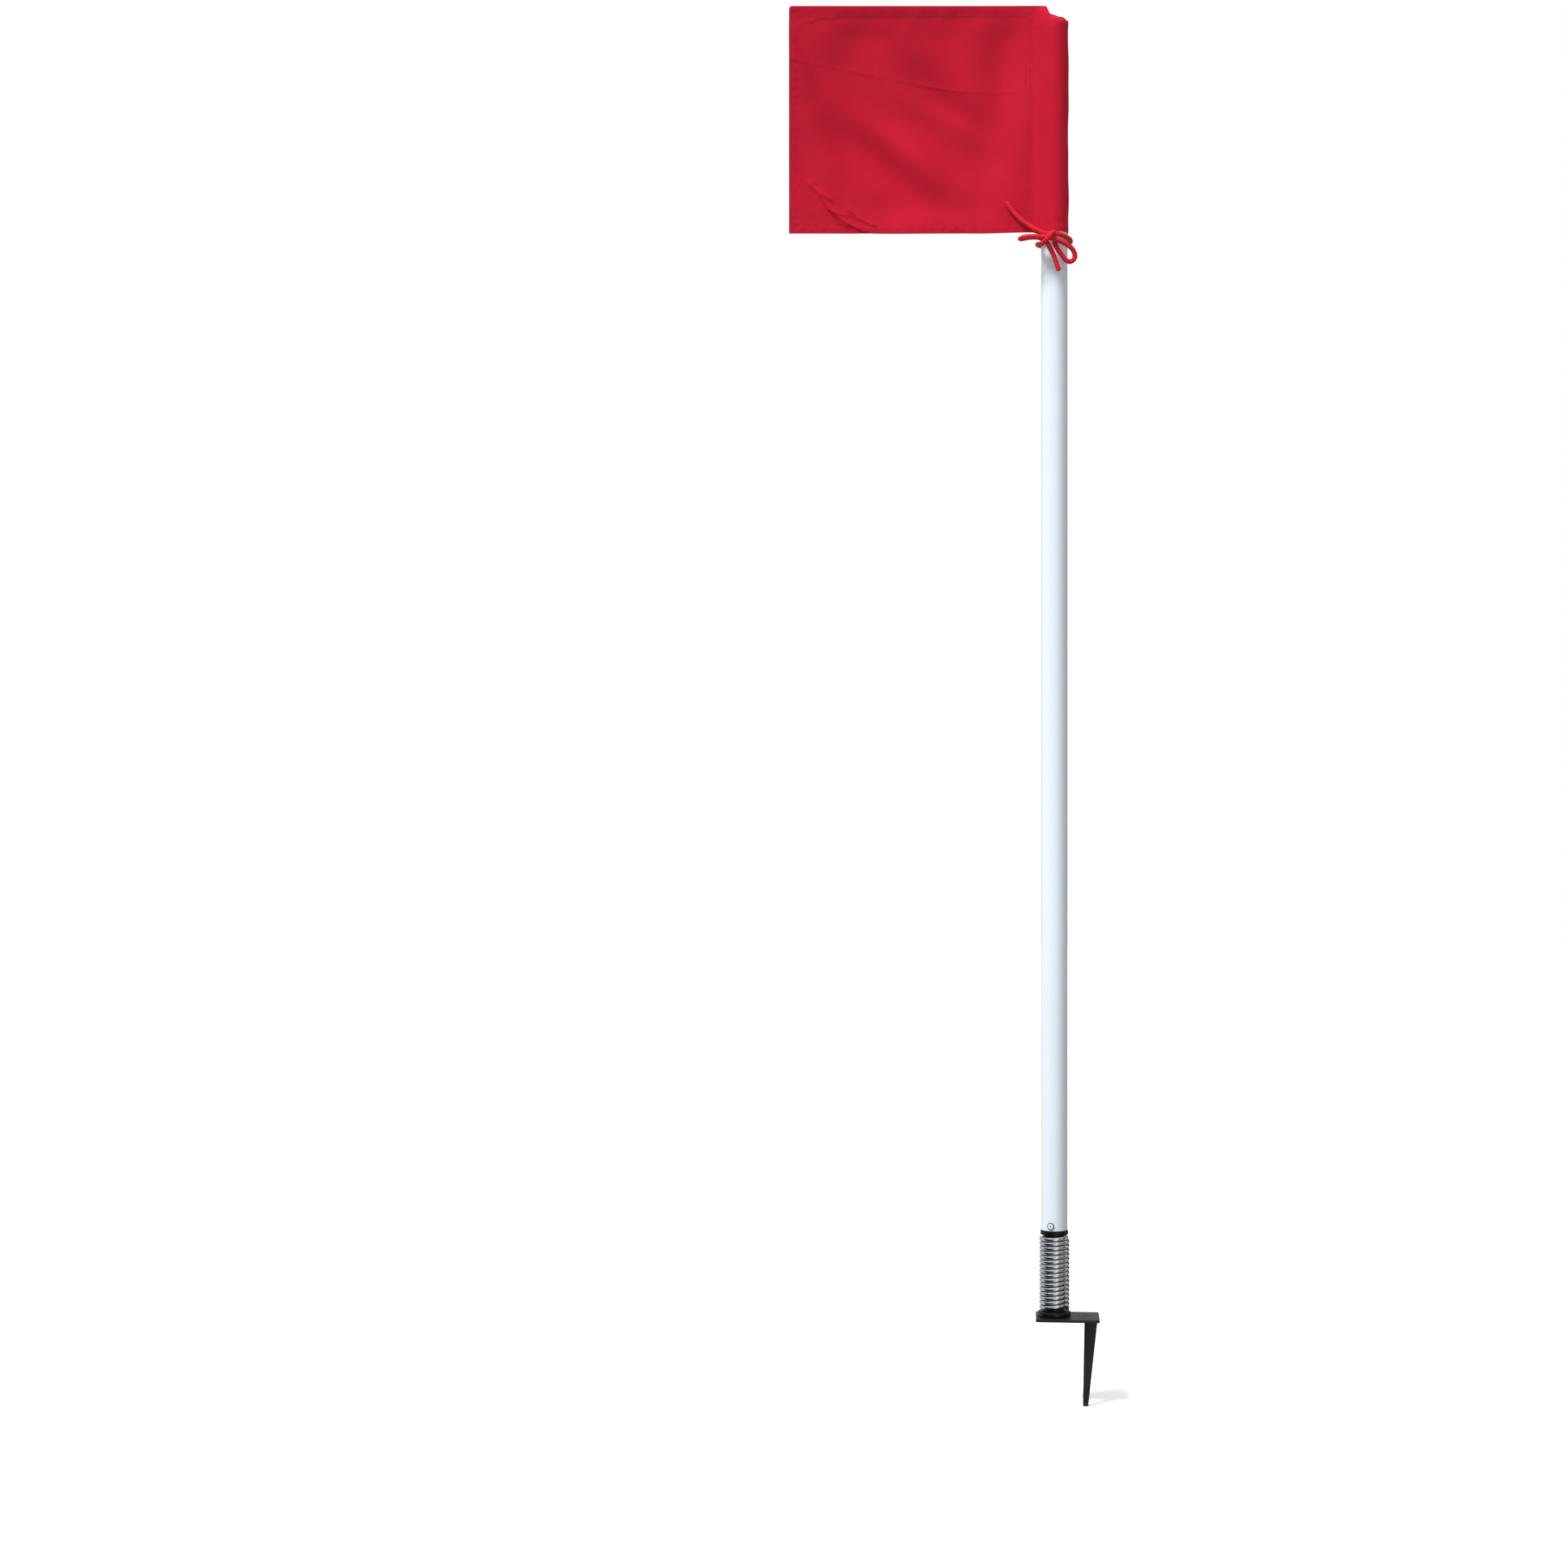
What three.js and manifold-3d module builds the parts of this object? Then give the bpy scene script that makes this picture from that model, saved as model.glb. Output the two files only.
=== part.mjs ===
// A corner flag for a sports field: a red nylon flag whose sewn sleeve slides over a white plastic
// pole and is tied below with a braided cord. The pole is riveted to a black plug, the plug stands in
// a close-wound steel spring, and the spring stands on a second plug that is screwed to a steel foot
// plate with a spike. Millimetres, +Z up. The origin is on the pole's axis at the underside of the
// foot plate, which rests on the turf; +X points to the spike's end of the plate and -Y to the viewer.
import * as THREE from "three";
import { mergeVertices } from "three/addons/utils/BufferGeometryUtils.js";
import Module from "manifold-3d";

const wasm = await Module();
wasm.setup();

// Clearances
const SEAT_GAP = 0.3; // between pieces that touch
const OVERRUN = 1; // how far a cutting solid runs past the face it cuts

// Foot plate, its spike and the weld between them
const PLATE_LENGTH = 72.3;
const PLATE_DEPTH = 53;
const PLATE_THICKNESS = 3.2;
const PLATE_CORNER = 3;
const PLATE_HEEL = 21.1; // from the pole's axis to the plate's short end
const FOOT_YAW_DEG = -5; // the plate stands turned a little from the flag's plane
const SPIKE_LENGTH = 99.4;
const SPIKE_THICKNESS = 5;
const SPIKE_TOP_WIDTH = 15.1;
const SPIKE_TIP_WIDTH = 6;
const SPIKE_END_INSET = 1.8; // from the spike's wide end to the plate's end
const SPIKE_TIP_SHIFT = 1.7; // how far the straight edge runs towards the pole at the tip
const SPIKE_EDGE = 0.6; // the small chamfer along the blade
const WELD_LEG = 2.6;
const WELD_CORNER = 1; // how far the bead stops short of the blade's edges
const WELD_CROWN_SHARE = 0.66; // of the leg: how far the bead's face swells outwards

// Screw, washer and nut that hold the lower plug on the plate
const SCREW_RADIUS = 3;
const SCREW_HEAD_RADIUS = 5.8;
const SCREW_HEAD_HEIGHT = 2.7;
const SCREW_PROUD = 3; // how far the thread stands out of the nut
const SCREW_SOCKET_RADIUS = 2.2;
const SCREW_SOCKET_DEPTH = 1.6;
const WASHER_RADIUS = 6.2;
const WASHER_THICKNESS = 1.4;
const NUT_ACROSS_FLATS = 10;
const NUT_HEIGHT = 5;

// The two plugs that the spring grips
const DISC_RADIUS = 18.8;
const DISC_HEIGHT = 5.8;
const DISC_ROUND = 2;
const COLLAR_RADIUS = 16;
const COLLAR_HEIGHT = 5.2;
const COLLAR_ROUND = 1.1;
const HUB_HEIGHT = 22;
const HUB_NOSE = 3; // the chamfer at a hub's end
const STEM_HEIGHT = 42; // the upper plug's stem, inside the pole
const STEM_WALL = 3.6;
const STEM_FLOOR = 2; // the plug is solid up to here above its collar

// Spring
const SPRING_TURNS = 16;
const SPRING_PITCH = 5.1;
const WIRE_RADIUS = 2.3;
const SPRING_OUTER_RADIUS = 17.35;
const SPRING_END_DEG = -23; // where both wire ends stop, counted from +X
const COIL_CLEARANCE = 0.4; // the least gap wanted between the coils

// Pole and its top cap
const POLE_RADIUS = 15;
const POLE_WALL = 1.5;
const POLE_LENGTH = 1373.4;
const CAP_HEAD_HEIGHT = 3;
const CAP_STEM_HEIGHT = 16;
const CAP_STEM_WALL = 2;
const CAP_ROUND = 1.4;

// Rivet through the pole and the upper plug's stem
const RIVET_ABOVE_EDGE = 5.7; // from the pole's lower end to the rivet's axis
const RIVET_AROUND_DEG = -111; // where it stands round the pole, counted from +X
const RIVET_HEAD_RADIUS = 4.1;
const RIVET_HEAD_HEIGHT = 1.5;
const RIVET_RIM = 0.5; // the straight edge of the head, below its dome
const RIVET_SHANK_RADIUS = 2;
const RIVET_BULB_RADIUS = 2.9;
const RIVET_BULB_LENGTH = 1.8;
const MANDREL_RADIUS = 0.85;
const MANDREL_HEAD_RADIUS = 1.9;
const MANDREL_HEAD_LENGTH = 1.6;
const MANDREL_RECESS = 0.6; // how far the pin's broken end lies below the rivet's dome

// Flag: a panel with hems, and a sleeve with a closed top
const FLAG_HEIGHT = 260;
const FLAG_RISE = 25; // from the pole's upper end to the flag's top edge
const PANEL_WIDTH = 277.4; // from the free edge to the sleeve's seam
const PANEL_THICKNESS = 1;
const HEM_THICKNESS = 1.7;
const TOP_HEM = 13;
const BOTTOM_HEM = 7;
const FLY_HEM = 7.5; // along the free edge
const HEM_SLOPE = 0.8; // the width over which a hem thins to the single cloth
const SLEEVE_SEAM = 25.5; // from the pole's axis to the seam
const SLEEVE_EASE = 0.5; // between the pole and the cloth
const SLEEVE_WALL = 0.8;
const SLEEVE_SEAM_LAYERS = 3; // from the seam to where the two layers part
const SLEEVE_TOP_DROP = 12.5; // how far the closed top dips over the pole
const SLEEVE_CORNER_DROP = 4.8; // and how much further at its outer corner
const SLEEVE_DIP_SHARES = [-0.75, -0.1]; // of the pole's radius: where the closed top starts and ends its dip
const SLEEVE_CORNER_SHARE = 0.6; // of the pole's radius: where the outer corner starts to drop
const SLEEVE_CLOSING = 24; // the height over which the sleeve flattens into its closed top
const SLEEVE_CLOSING_SHARES = [0, 0.35, 0.6, 0.8, 0.93, 1]; // the loft's rings over that height
const SLEEVE_CLOSED_GAP = 0.2; // between the two layers at the closed top
const FOLD_DEPTH = 5.5; // the panel's deepest fold
const FOLD_HELD_SHARES = [0.86, 1]; // of the panel's width: where the folds die out towards the seam
const FOLD_LENGTH_SHARE = 1.1; // of a fold's half length: how far it reaches before it fades

// Tie cord
const CORD_RADIUS = 2.9;

// Facets
const ROUND_SIDES = 48;
const SMALL_SIDES = 24;
const HEX_SIDES = 6;
const CORNER_STEPS = 5;
const EDGE_STEPS = 3;
const SLEEVE_ARC_STEPS = 22;
const SLEEVE_RUN_STEPS = 3;
const PANEL_COLUMNS = 22; // between the hems
const PANEL_ROWS = 20;
const SPRING_STEPS = 8;
const SPRING_SIDES = 5;
const CORD_STEPS = 112;
const CORD_SIDES = 8;

// Places worked out from the sizes above
const discFloor = PLATE_THICKNESS + SEAT_GAP;
const discTop = discFloor + DISC_HEIGHT;
const springFloor = discTop + SEAT_GAP;
const springHeight = SPRING_TURNS * SPRING_PITCH + 2 * WIRE_RADIUS;
const collarFloor = springFloor + springHeight + SEAT_GAP;
const collarTop = collarFloor + COLLAR_HEIGHT;
const poleFloor = collarTop + SEAT_GAP;
const poleTop = poleFloor + POLE_LENGTH;
const flagTop = poleTop + FLAG_RISE;
const flagFloor = flagTop - FLAG_HEIGHT;
const coilRadius = SPRING_OUTER_RADIUS - WIRE_RADIUS;
// A coil is a polygon of SPRING_STEPS sides, so its corners stand out and its sides dip in.
const coilDip = Math.cos(Math.PI / SPRING_STEPS);
const coilCornerRadius = (2 * coilRadius) / (1 + coilDip);
const hubRadius = coilCornerRadius * coilDip - WIRE_RADIUS - SEAT_GAP;
const poleBore = POLE_RADIUS - POLE_WALL;
const stemRadius = poleBore - SEAT_GAP;
const sleeveBore = POLE_RADIUS + SLEEVE_EASE;
const sleeveRadius = sleeveBore + SLEEVE_WALL;
const closedInnerHalf = SLEEVE_CLOSED_GAP / 2;
const closedOuterHalf = closedInnerHalf + SLEEVE_WALL;

const MATERIALS = {
  cloth: { color: 0xba1e34, roughness: 0.55, metalness: 0 },
  cord: { color: 0xd62a3c, roughness: 0.7, metalness: 0 },
  pole: { color: 0xe9eef8, roughness: 0.25, metalness: 0 },
  blackPlastic: { color: 0x17171a, roughness: 0.3, metalness: 0 },
  spring: { color: 0xb9c0c6, roughness: 0.2, metalness: 1 },
  blackSteel: { color: 0x2a2929, roughness: 0.45, metalness: 0.2 },
  rivet: { color: 0xe6eaf0, roughness: 0.35, metalness: 0.2 },
  steel: { color: 0x8d8f92, roughness: 0.35, metalness: 1 },
};

function named(name, geometry, look) {
  const mesh = new THREE.Mesh(geometry, new THREE.MeshStandardMaterial(MATERIALS[look]));
  mesh.name = name;
  return mesh;
}

// A three.js geometry as a solid for cutting and joining
function solidOf(geometry) {
  const bare = geometry.clone();
  bare.deleteAttribute("normal");
  bare.deleteAttribute("uv");
  const merged = mergeVertices(bare);
  return new wasm.Manifold(
    new wasm.Mesh({
      numProp: 3,
      vertProperties: new Float32Array(merged.attributes.position.array),
      triVerts: new Uint32Array(merged.index.array),
    }),
  );
}

// A solid as a three.js geometry again
function geometryOf(solid) {
  const mesh = solid.getMesh();
  const geometry = new THREE.BufferGeometry();
  geometry.setAttribute("position", new THREE.BufferAttribute(mesh.vertProperties, 3));
  geometry.setIndex(new THREE.BufferAttribute(mesh.triVerts, 1));
  geometry.computeVertexNormals();
  return geometry;
}

function cut(geometry, ...tools) {
  return geometryOf(tools.reduce((left, tool) => left.subtract(solidOf(tool)), solidOf(geometry)));
}

// A profile of [radius, height] pairs, listed upwards from the axis and back to it, turned round +Z
function turned(profile, sides = ROUND_SIDES) {
  const points = profile.map(([radius, height]) => new THREE.Vector2(radius, height));
  return new THREE.LatheGeometry(points, sides).rotateX(Math.PI / 2);
}

// A quarter round on a profile, about its own centre, between two headings
function quarterRound(centreRadius, centreHeight, round, fromDeg, toDeg) {
  return Array.from({ length: EDGE_STEPS + 1 }, (_, i) => {
    const heading = THREE.MathUtils.degToRad(fromDeg + ((toDeg - fromDeg) * i) / EDGE_STEPS);
    return [centreRadius + round * Math.cos(heading), centreHeight + round * Math.sin(heading)];
  });
}

// An upright cylinder from one height to another
function post(radius, low, high, sides = ROUND_SIDES) {
  return new THREE.CylinderGeometry(radius, radius, high - low, sides)
    .rotateX(Math.PI / 2)
    .translate(0, 0, (low + high) / 2);
}

// A closed skin over rings of equal length: each ring is a list of Vector3, and both ends are capped
// with a fan about the ring's middle.
function skin(rings) {
  const count = rings[0].length;
  const corners = rings.flat();
  const faces = [];
  for (let i = 0; i + 1 < rings.length; i++) {
    for (let j = 0; j < count; j++) {
      const k = (j + 1) % count;
      faces.push(i * count + j, i * count + k, (i + 1) * count + k);
      faces.push(i * count + j, (i + 1) * count + k, (i + 1) * count + j);
    }
  }
  const cap = (ring, first, flip) => {
    const middle = ring.reduce((sum, p) => sum.add(p), new THREE.Vector3()).divideScalar(count);
    const centre = corners.push(middle) - 1;
    for (let j = 0; j < count; j++) {
      const k = (j + 1) % count;
      faces.push(centre, first + (flip ? k : j), first + (flip ? j : k));
    }
  };
  cap(rings[0], 0, true);
  cap(rings[rings.length - 1], (rings.length - 1) * count, false);
  const geometry = new THREE.BufferGeometry().setFromPoints(corners);
  geometry.setIndex(faces);
  geometry.computeVertexNormals();
  return geometry;
}

// Foot plate: a rounded rectangle with a countersunk hole on the pole's axis
function footPlate() {
  const [left, right] = [-PLATE_HEEL, PLATE_LENGTH - PLATE_HEEL];
  const [front, back] = [-PLATE_DEPTH / 2, PLATE_DEPTH / 2];
  const outline = new THREE.Shape();
  outline.moveTo(left + PLATE_CORNER, front);
  outline.absarc(right - PLATE_CORNER, front + PLATE_CORNER, PLATE_CORNER, -Math.PI / 2, 0);
  outline.absarc(right - PLATE_CORNER, back - PLATE_CORNER, PLATE_CORNER, 0, Math.PI / 2);
  outline.absarc(left + PLATE_CORNER, back - PLATE_CORNER, PLATE_CORNER, Math.PI / 2, Math.PI);
  outline.absarc(left + PLATE_CORNER, front + PLATE_CORNER, PLATE_CORNER, Math.PI, 1.5 * Math.PI);
  const slab = new THREE.ExtrudeGeometry(outline, {
    depth: PLATE_THICKNESS,
    bevelEnabled: false,
    curveSegments: CORNER_STEPS,
  });
  const countersink = turned(
    [
      [0, -OVERRUN],
      [SCREW_HEAD_RADIUS + SEAT_GAP, -OVERRUN],
      [SCREW_HEAD_RADIUS + SEAT_GAP, SEAT_GAP],
      [SCREW_RADIUS + SEAT_GAP, SCREW_HEAD_HEIGHT + SEAT_GAP],
      [SCREW_RADIUS + SEAT_GAP, PLATE_THICKNESS + OVERRUN],
      [0, PLATE_THICKNESS + OVERRUN],
    ],
    SMALL_SIDES,
  );
  return cut(slab, countersink);
}

const spikeRight = PLATE_LENGTH - PLATE_HEEL - SPIKE_END_INSET;
const spikeLeft = spikeRight - SPIKE_TOP_WIDTH;

// Spike: a flat bar with one straight and one slanting edge, blunt at its tip
function spike() {
  const tipLeft = spikeLeft - SPIKE_TIP_SHIFT;
  const outline = new THREE.Shape([
    new THREE.Vector2(spikeLeft + SPIKE_EDGE, -SEAT_GAP),
    new THREE.Vector2(tipLeft + SPIKE_EDGE, -SPIKE_LENGTH + SPIKE_EDGE),
    new THREE.Vector2(tipLeft + SPIKE_TIP_WIDTH - SPIKE_EDGE, -SPIKE_LENGTH + SPIKE_EDGE),
    new THREE.Vector2(spikeRight - SPIKE_EDGE, -SEAT_GAP),
  ]);
  const blade = new THREE.ExtrudeGeometry(outline, {
    depth: SPIKE_THICKNESS - 2 * SPIKE_EDGE,
    bevelEnabled: true,
    bevelThickness: SPIKE_EDGE,
    bevelSize: SPIKE_EDGE,
    bevelSegments: 1,
  })
    .translate(0, 0, SPIKE_EDGE - SPIKE_THICKNESS / 2)
    .rotateX(Math.PI / 2);
  const spare = SPIKE_EDGE + OVERRUN;
  const aboveSeat = new THREE.BoxGeometry(PLATE_LENGTH, PLATE_DEPTH, spare).translate(
    spikeRight,
    0,
    spare / 2 - SEAT_GAP,
  );
  return cut(blade, aboveSeat);
}

// Weld bead: a fillet along one long side of the spike's top; side is -1 in front and 1 behind
function weldBead(side) {
  const length = SPIKE_TOP_WIDTH - 2 * WELD_CORNER;
  const section = new THREE.Shape();
  section.moveTo(0, 0);
  section.lineTo(WELD_LEG, 0);
  section.quadraticCurveTo(WELD_CROWN_SHARE * WELD_LEG, -WELD_CROWN_SHARE * WELD_LEG, 0, -WELD_LEG);
  section.closePath();
  // The extrusion runs towards -X in front and towards +X behind
  return new THREE.ExtrudeGeometry(section, {
    depth: length,
    bevelEnabled: false,
    curveSegments: CORNER_STEPS,
  })
    .rotateX(Math.PI / 2)
    .rotateZ(side * (Math.PI / 2))
    .translate(
      side < 0 ? spikeRight - WELD_CORNER : spikeLeft + WELD_CORNER,
      side * (SPIKE_THICKNESS / 2 + SEAT_GAP),
      -SEAT_GAP,
    );
}

const hubTop = discTop + HUB_HEIGHT;
const washerTop = hubTop + SEAT_GAP + WASHER_THICKNESS;
const nutTop = washerTop + SEAT_GAP + NUT_HEIGHT;

// Lower plug: the black disc on the plate, and the hub that stands inside the spring
function lowerPlug() {
  const body = turned([
    [0, discFloor],
    [DISC_RADIUS, discFloor],
    ...quarterRound(DISC_RADIUS - DISC_ROUND, discTop - DISC_ROUND, DISC_ROUND, 0, 90),
    [hubRadius, discTop],
    [hubRadius, hubTop - HUB_NOSE],
    [hubRadius - HUB_NOSE, hubTop],
    [0, hubTop],
  ]);
  const bore = post(SCREW_RADIUS + SEAT_GAP, discFloor - OVERRUN, hubTop + OVERRUN, SMALL_SIDES);
  return cut(body, bore);
}

function footScrew() {
  const body = turned(
    [
      [0, 0],
      [SCREW_HEAD_RADIUS, 0],
      [SCREW_RADIUS, SCREW_HEAD_HEIGHT],
      [SCREW_RADIUS, nutTop + SCREW_PROUD],
      [0, nutTop + SCREW_PROUD],
    ],
    SMALL_SIDES,
  );
  return cut(body, post(SCREW_SOCKET_RADIUS, -OVERRUN, SCREW_SOCKET_DEPTH, HEX_SIDES));
}

function footWasher() {
  const ring = post(WASHER_RADIUS, hubTop + SEAT_GAP, washerTop, SMALL_SIDES);
  return cut(ring, post(SCREW_RADIUS + SEAT_GAP, hubTop, washerTop + OVERRUN, SMALL_SIDES));
}

function footNut() {
  const corner = NUT_ACROSS_FLATS / Math.sqrt(3);
  const body = post(corner, washerTop + SEAT_GAP, nutTop, HEX_SIDES);
  return cut(body, post(SCREW_RADIUS + SEAT_GAP, washerTop, nutTop + OVERRUN, SMALL_SIDES));
}

// Spring: one unbroken wire. The rings stand on the coil's corners, with SPRING_STEPS to a turn, and
// each lies in the upright plane through the spring's axis, so that all coils nest alike.
function springRings() {
  const steps = SPRING_TURNS * SPRING_STEPS;
  const start = THREE.MathUtils.degToRad(SPRING_END_DEG);
  const rings = [];
  for (let i = 0; i <= steps; i++) {
    const turn = start + (2 * Math.PI * i) / SPRING_STEPS;
    const height = springFloor + WIRE_RADIUS + (SPRING_PITCH * i) / SPRING_STEPS;
    const ring = [];
    for (let j = 0; j < SPRING_SIDES; j++) {
      const around = (2 * Math.PI * j) / SPRING_SIDES;
      const radius = coilCornerRadius - WIRE_RADIUS * Math.cos(around);
      ring.push(
        new THREE.Vector3(
          radius * Math.cos(turn),
          radius * Math.sin(turn),
          height + WIRE_RADIUS * Math.sin(around),
        ),
      );
    }
    rings.push(ring);
  }
  return rings;
}

// The least gap between the coils: points on neighbouring turns, along each of the wire's edges
function leastSpringGap(rings) {
  let least = Infinity;
  for (let i = 0; i + SPRING_STEPS < rings.length; i++) {
    for (const p of rings[i]) {
      for (const q of rings[i + SPRING_STEPS]) least = Math.min(least, p.distanceTo(q));
    }
  }
  return least;
}

// Upper plug: the collar between spring and pole, a hub in the spring below and a hollow stem above
function upperPlug() {
  const stemTop = collarTop + STEM_HEIGHT;
  const hubFloor = collarFloor - HUB_HEIGHT;
  const bore = stemRadius - STEM_WALL;
  return turned([
    [0, hubFloor],
    [hubRadius - HUB_NOSE, hubFloor],
    [hubRadius, hubFloor + HUB_NOSE],
    [hubRadius, collarFloor],
    ...quarterRound(COLLAR_RADIUS - COLLAR_ROUND, collarFloor + COLLAR_ROUND, COLLAR_ROUND, -90, 0),
    ...quarterRound(COLLAR_RADIUS - COLLAR_ROUND, collarTop - COLLAR_ROUND, COLLAR_ROUND, 0, 90),
    [stemRadius, collarTop],
    [stemRadius, stemTop],
    [bore, stemTop],
    [bore, collarTop + STEM_FLOOR],
    [0, collarTop + STEM_FLOOR],
  ]);
}

const rivetHeight = poleFloor + RIVET_ABOVE_EDGE;
const rivetSeat = POLE_RADIUS + SEAT_GAP;
const stemBore = stemRadius - STEM_WALL;
const bulbOuter = stemBore * Math.cos(Math.asin(RIVET_BULB_RADIUS / stemBore)) - SEAT_GAP;
const bulbInner = bulbOuter - RIVET_BULB_LENGTH;

// Turns a piece that was made along +Z from the pole's axis outwards to where the rivet stands
function onRivetAxis(geometry) {
  return geometry
    .rotateY(Math.PI / 2)
    .rotateZ(THREE.MathUtils.degToRad(RIVET_AROUND_DEG))
    .translate(0, 0, rivetHeight);
}

function rivetHole() {
  const drill = post(RIVET_SHANK_RADIUS + SEAT_GAP, stemBore / 2, POLE_RADIUS + OVERRUN, SMALL_SIDES);
  return onRivetAxis(drill);
}

// Rivet: dome, hollow shank and the bulb that its pin pulled up inside the plug's stem
function rivetBody() {
  const bore = MANDREL_RADIUS + SEAT_GAP;
  const domeWidth = RIVET_HEAD_RADIUS - bore;
  const domeHeight = RIVET_HEAD_HEIGHT - RIVET_RIM;
  const dome = quarterRound(0, 0, 1, 0, 90).map(([outwards, upwards]) => [
    bore + domeWidth * outwards,
    rivetSeat + RIVET_RIM + domeHeight * upwards,
  ]);
  const profile = [
    [bore, bulbInner],
    [RIVET_BULB_RADIUS, bulbInner],
    [RIVET_BULB_RADIUS, bulbOuter],
    [RIVET_SHANK_RADIUS, bulbOuter],
    [RIVET_SHANK_RADIUS, rivetSeat],
    [RIVET_HEAD_RADIUS, rivetSeat],
    ...dome,
    [bore, bulbInner],
  ];
  return onRivetAxis(turned(profile, SMALL_SIDES));
}

function rivetMandrel() {
  const headTop = bulbInner - SEAT_GAP;
  const broken = rivetSeat + RIVET_HEAD_HEIGHT - MANDREL_RECESS;
  const profile = [
    [0, headTop - MANDREL_HEAD_LENGTH],
    [MANDREL_HEAD_RADIUS, headTop - MANDREL_HEAD_LENGTH],
    [MANDREL_HEAD_RADIUS, headTop],
    [MANDREL_RADIUS, headTop],
    [MANDREL_RADIUS, broken],
    [0, broken],
  ];
  return onRivetAxis(turned(profile, SMALL_SIDES));
}

function poleTube() {
  const tube = turned([
    [poleBore, poleFloor],
    [POLE_RADIUS, poleFloor],
    [POLE_RADIUS, poleTop],
    [poleBore, poleTop],
    [poleBore, poleFloor],
  ]);
  return cut(tube, rivetHole());
}

// Pole cap: a pressed-in plug with a round-edged head, hidden in the sleeve
function poleCap() {
  const head = poleTop + SEAT_GAP;
  const stemFloor = head - CAP_STEM_HEIGHT;
  return turned([
    [0, head],
    [stemRadius - CAP_STEM_WALL, head],
    [stemRadius - CAP_STEM_WALL, stemFloor],
    [stemRadius, stemFloor],
    [stemRadius, head],
    [POLE_RADIUS, head],
    ...quarterRound(POLE_RADIUS - CAP_ROUND, head + CAP_HEAD_HEIGHT - CAP_ROUND, CAP_ROUND, 0, 90),
    [0, head + CAP_HEAD_HEIGHT],
  ]);
}

// The sleeve's outline seen from above: a round of the given radius about the pole, drawn in by two
// straight runs to the seam at x = -tip, where it is 2 x half thick. Listed anticlockwise.
function sleeveOutline(radius, tip, half) {
  const reach = Math.hypot(tip, half);
  const tangent = Math.acos(radius / reach) - Math.atan2(half, tip);
  const from = -Math.PI + tangent;
  const to = Math.PI - tangent;
  const points = [];
  for (let i = 0; i <= SLEEVE_ARC_STEPS; i++) {
    const turn = from + ((to - from) * i) / SLEEVE_ARC_STEPS;
    points.push([radius * Math.cos(turn), radius * Math.sin(turn)]);
  }
  const [lastX, lastY] = points[SLEEVE_ARC_STEPS];
  for (let i = 1; i <= SLEEVE_RUN_STEPS; i++) {
    const share = i / SLEEVE_RUN_STEPS;
    points.push([lastX + (-tip - lastX) * share, lastY + (half - lastY) * share]);
  }
  const mirrored = points.slice(SLEEVE_ARC_STEPS + 1).map(([x, y]) => [x, -y]);
  return points.concat(mirrored.reverse());
}

// Height of the closed top above the pole's middle: level up to the panel, then dipping over the pole
function closedTop(x) {
  const [dipFrom, dipTo] = SLEEVE_DIP_SHARES.map((share) => share * POLE_RADIUS);
  const dip = THREE.MathUtils.smoothstep(x, dipFrom, dipTo);
  const corner = THREE.MathUtils.smoothstep(x, SLEEVE_CORNER_SHARE * POLE_RADIUS, sleeveRadius);
  return flagTop - SLEEVE_TOP_DROP * dip - SLEEVE_CORNER_DROP * corner;
}

// The sleeve as a loft: upright up to its closing height, then flattening to the closed top
function sleeveLoft(outline, floor, inset, closedHalf) {
  const shoulder = flagTop - SLEEVE_CLOSING;
  const ring = (share) =>
    outline.map(([x, y]) => {
      const top = closedTop(x) - inset;
      const width = Math.sqrt(1 - share * share);
      const flat = Math.sign(y) * Math.min(Math.abs(y), closedHalf);
      return new THREE.Vector3(x, flat + (y - flat) * width, shoulder + (top - shoulder) * share);
    });
  const upright = outline.map(([x, y]) => new THREE.Vector3(x, y, floor));
  return skin([upright, ...SLEEVE_CLOSING_SHARES.map(ring)]);
}

function flagSleeve() {
  const outer = sleeveLoft(
    sleeveOutline(sleeveRadius, SLEEVE_SEAM, closedOuterHalf),
    flagFloor,
    0,
    closedOuterHalf,
  );
  const inner = sleeveLoft(
    sleeveOutline(sleeveBore, SLEEVE_SEAM - SLEEVE_SEAM_LAYERS, closedInnerHalf),
    flagFloor - OVERRUN,
    2 * SLEEVE_WALL,
    closedInnerHalf,
  );
  return cut(outer, inner);
}

// The panel's main folds. Each runs from one place to another, as shares of the panel's width from
// the free edge and of its height from the bottom, and has a width and a height as shares.
const FOLD_SHARES = [
  { from: [0.14, 0.62], to: [0.8, 0.12], width: 0.11, rise: 1 },
  { from: [0.34, 0.72], to: [0.9, 0.36], width: 0.085, rise: 0.75 },
  { from: [0.05, 0.3], to: [0.5, -0.05], width: 0.1, rise: -0.6 },
  { from: [0.5, 1], to: [0.74, 0.58], width: 0.1, rise: 0.55 },
  { from: [0.2, 1.05], to: [0.26, 0.66], width: 0.08, rise: 0.5 },
  { from: [0.93, 1], to: [0.82, 0.6], width: 0.07, rise: 0.5 },
];

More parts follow.
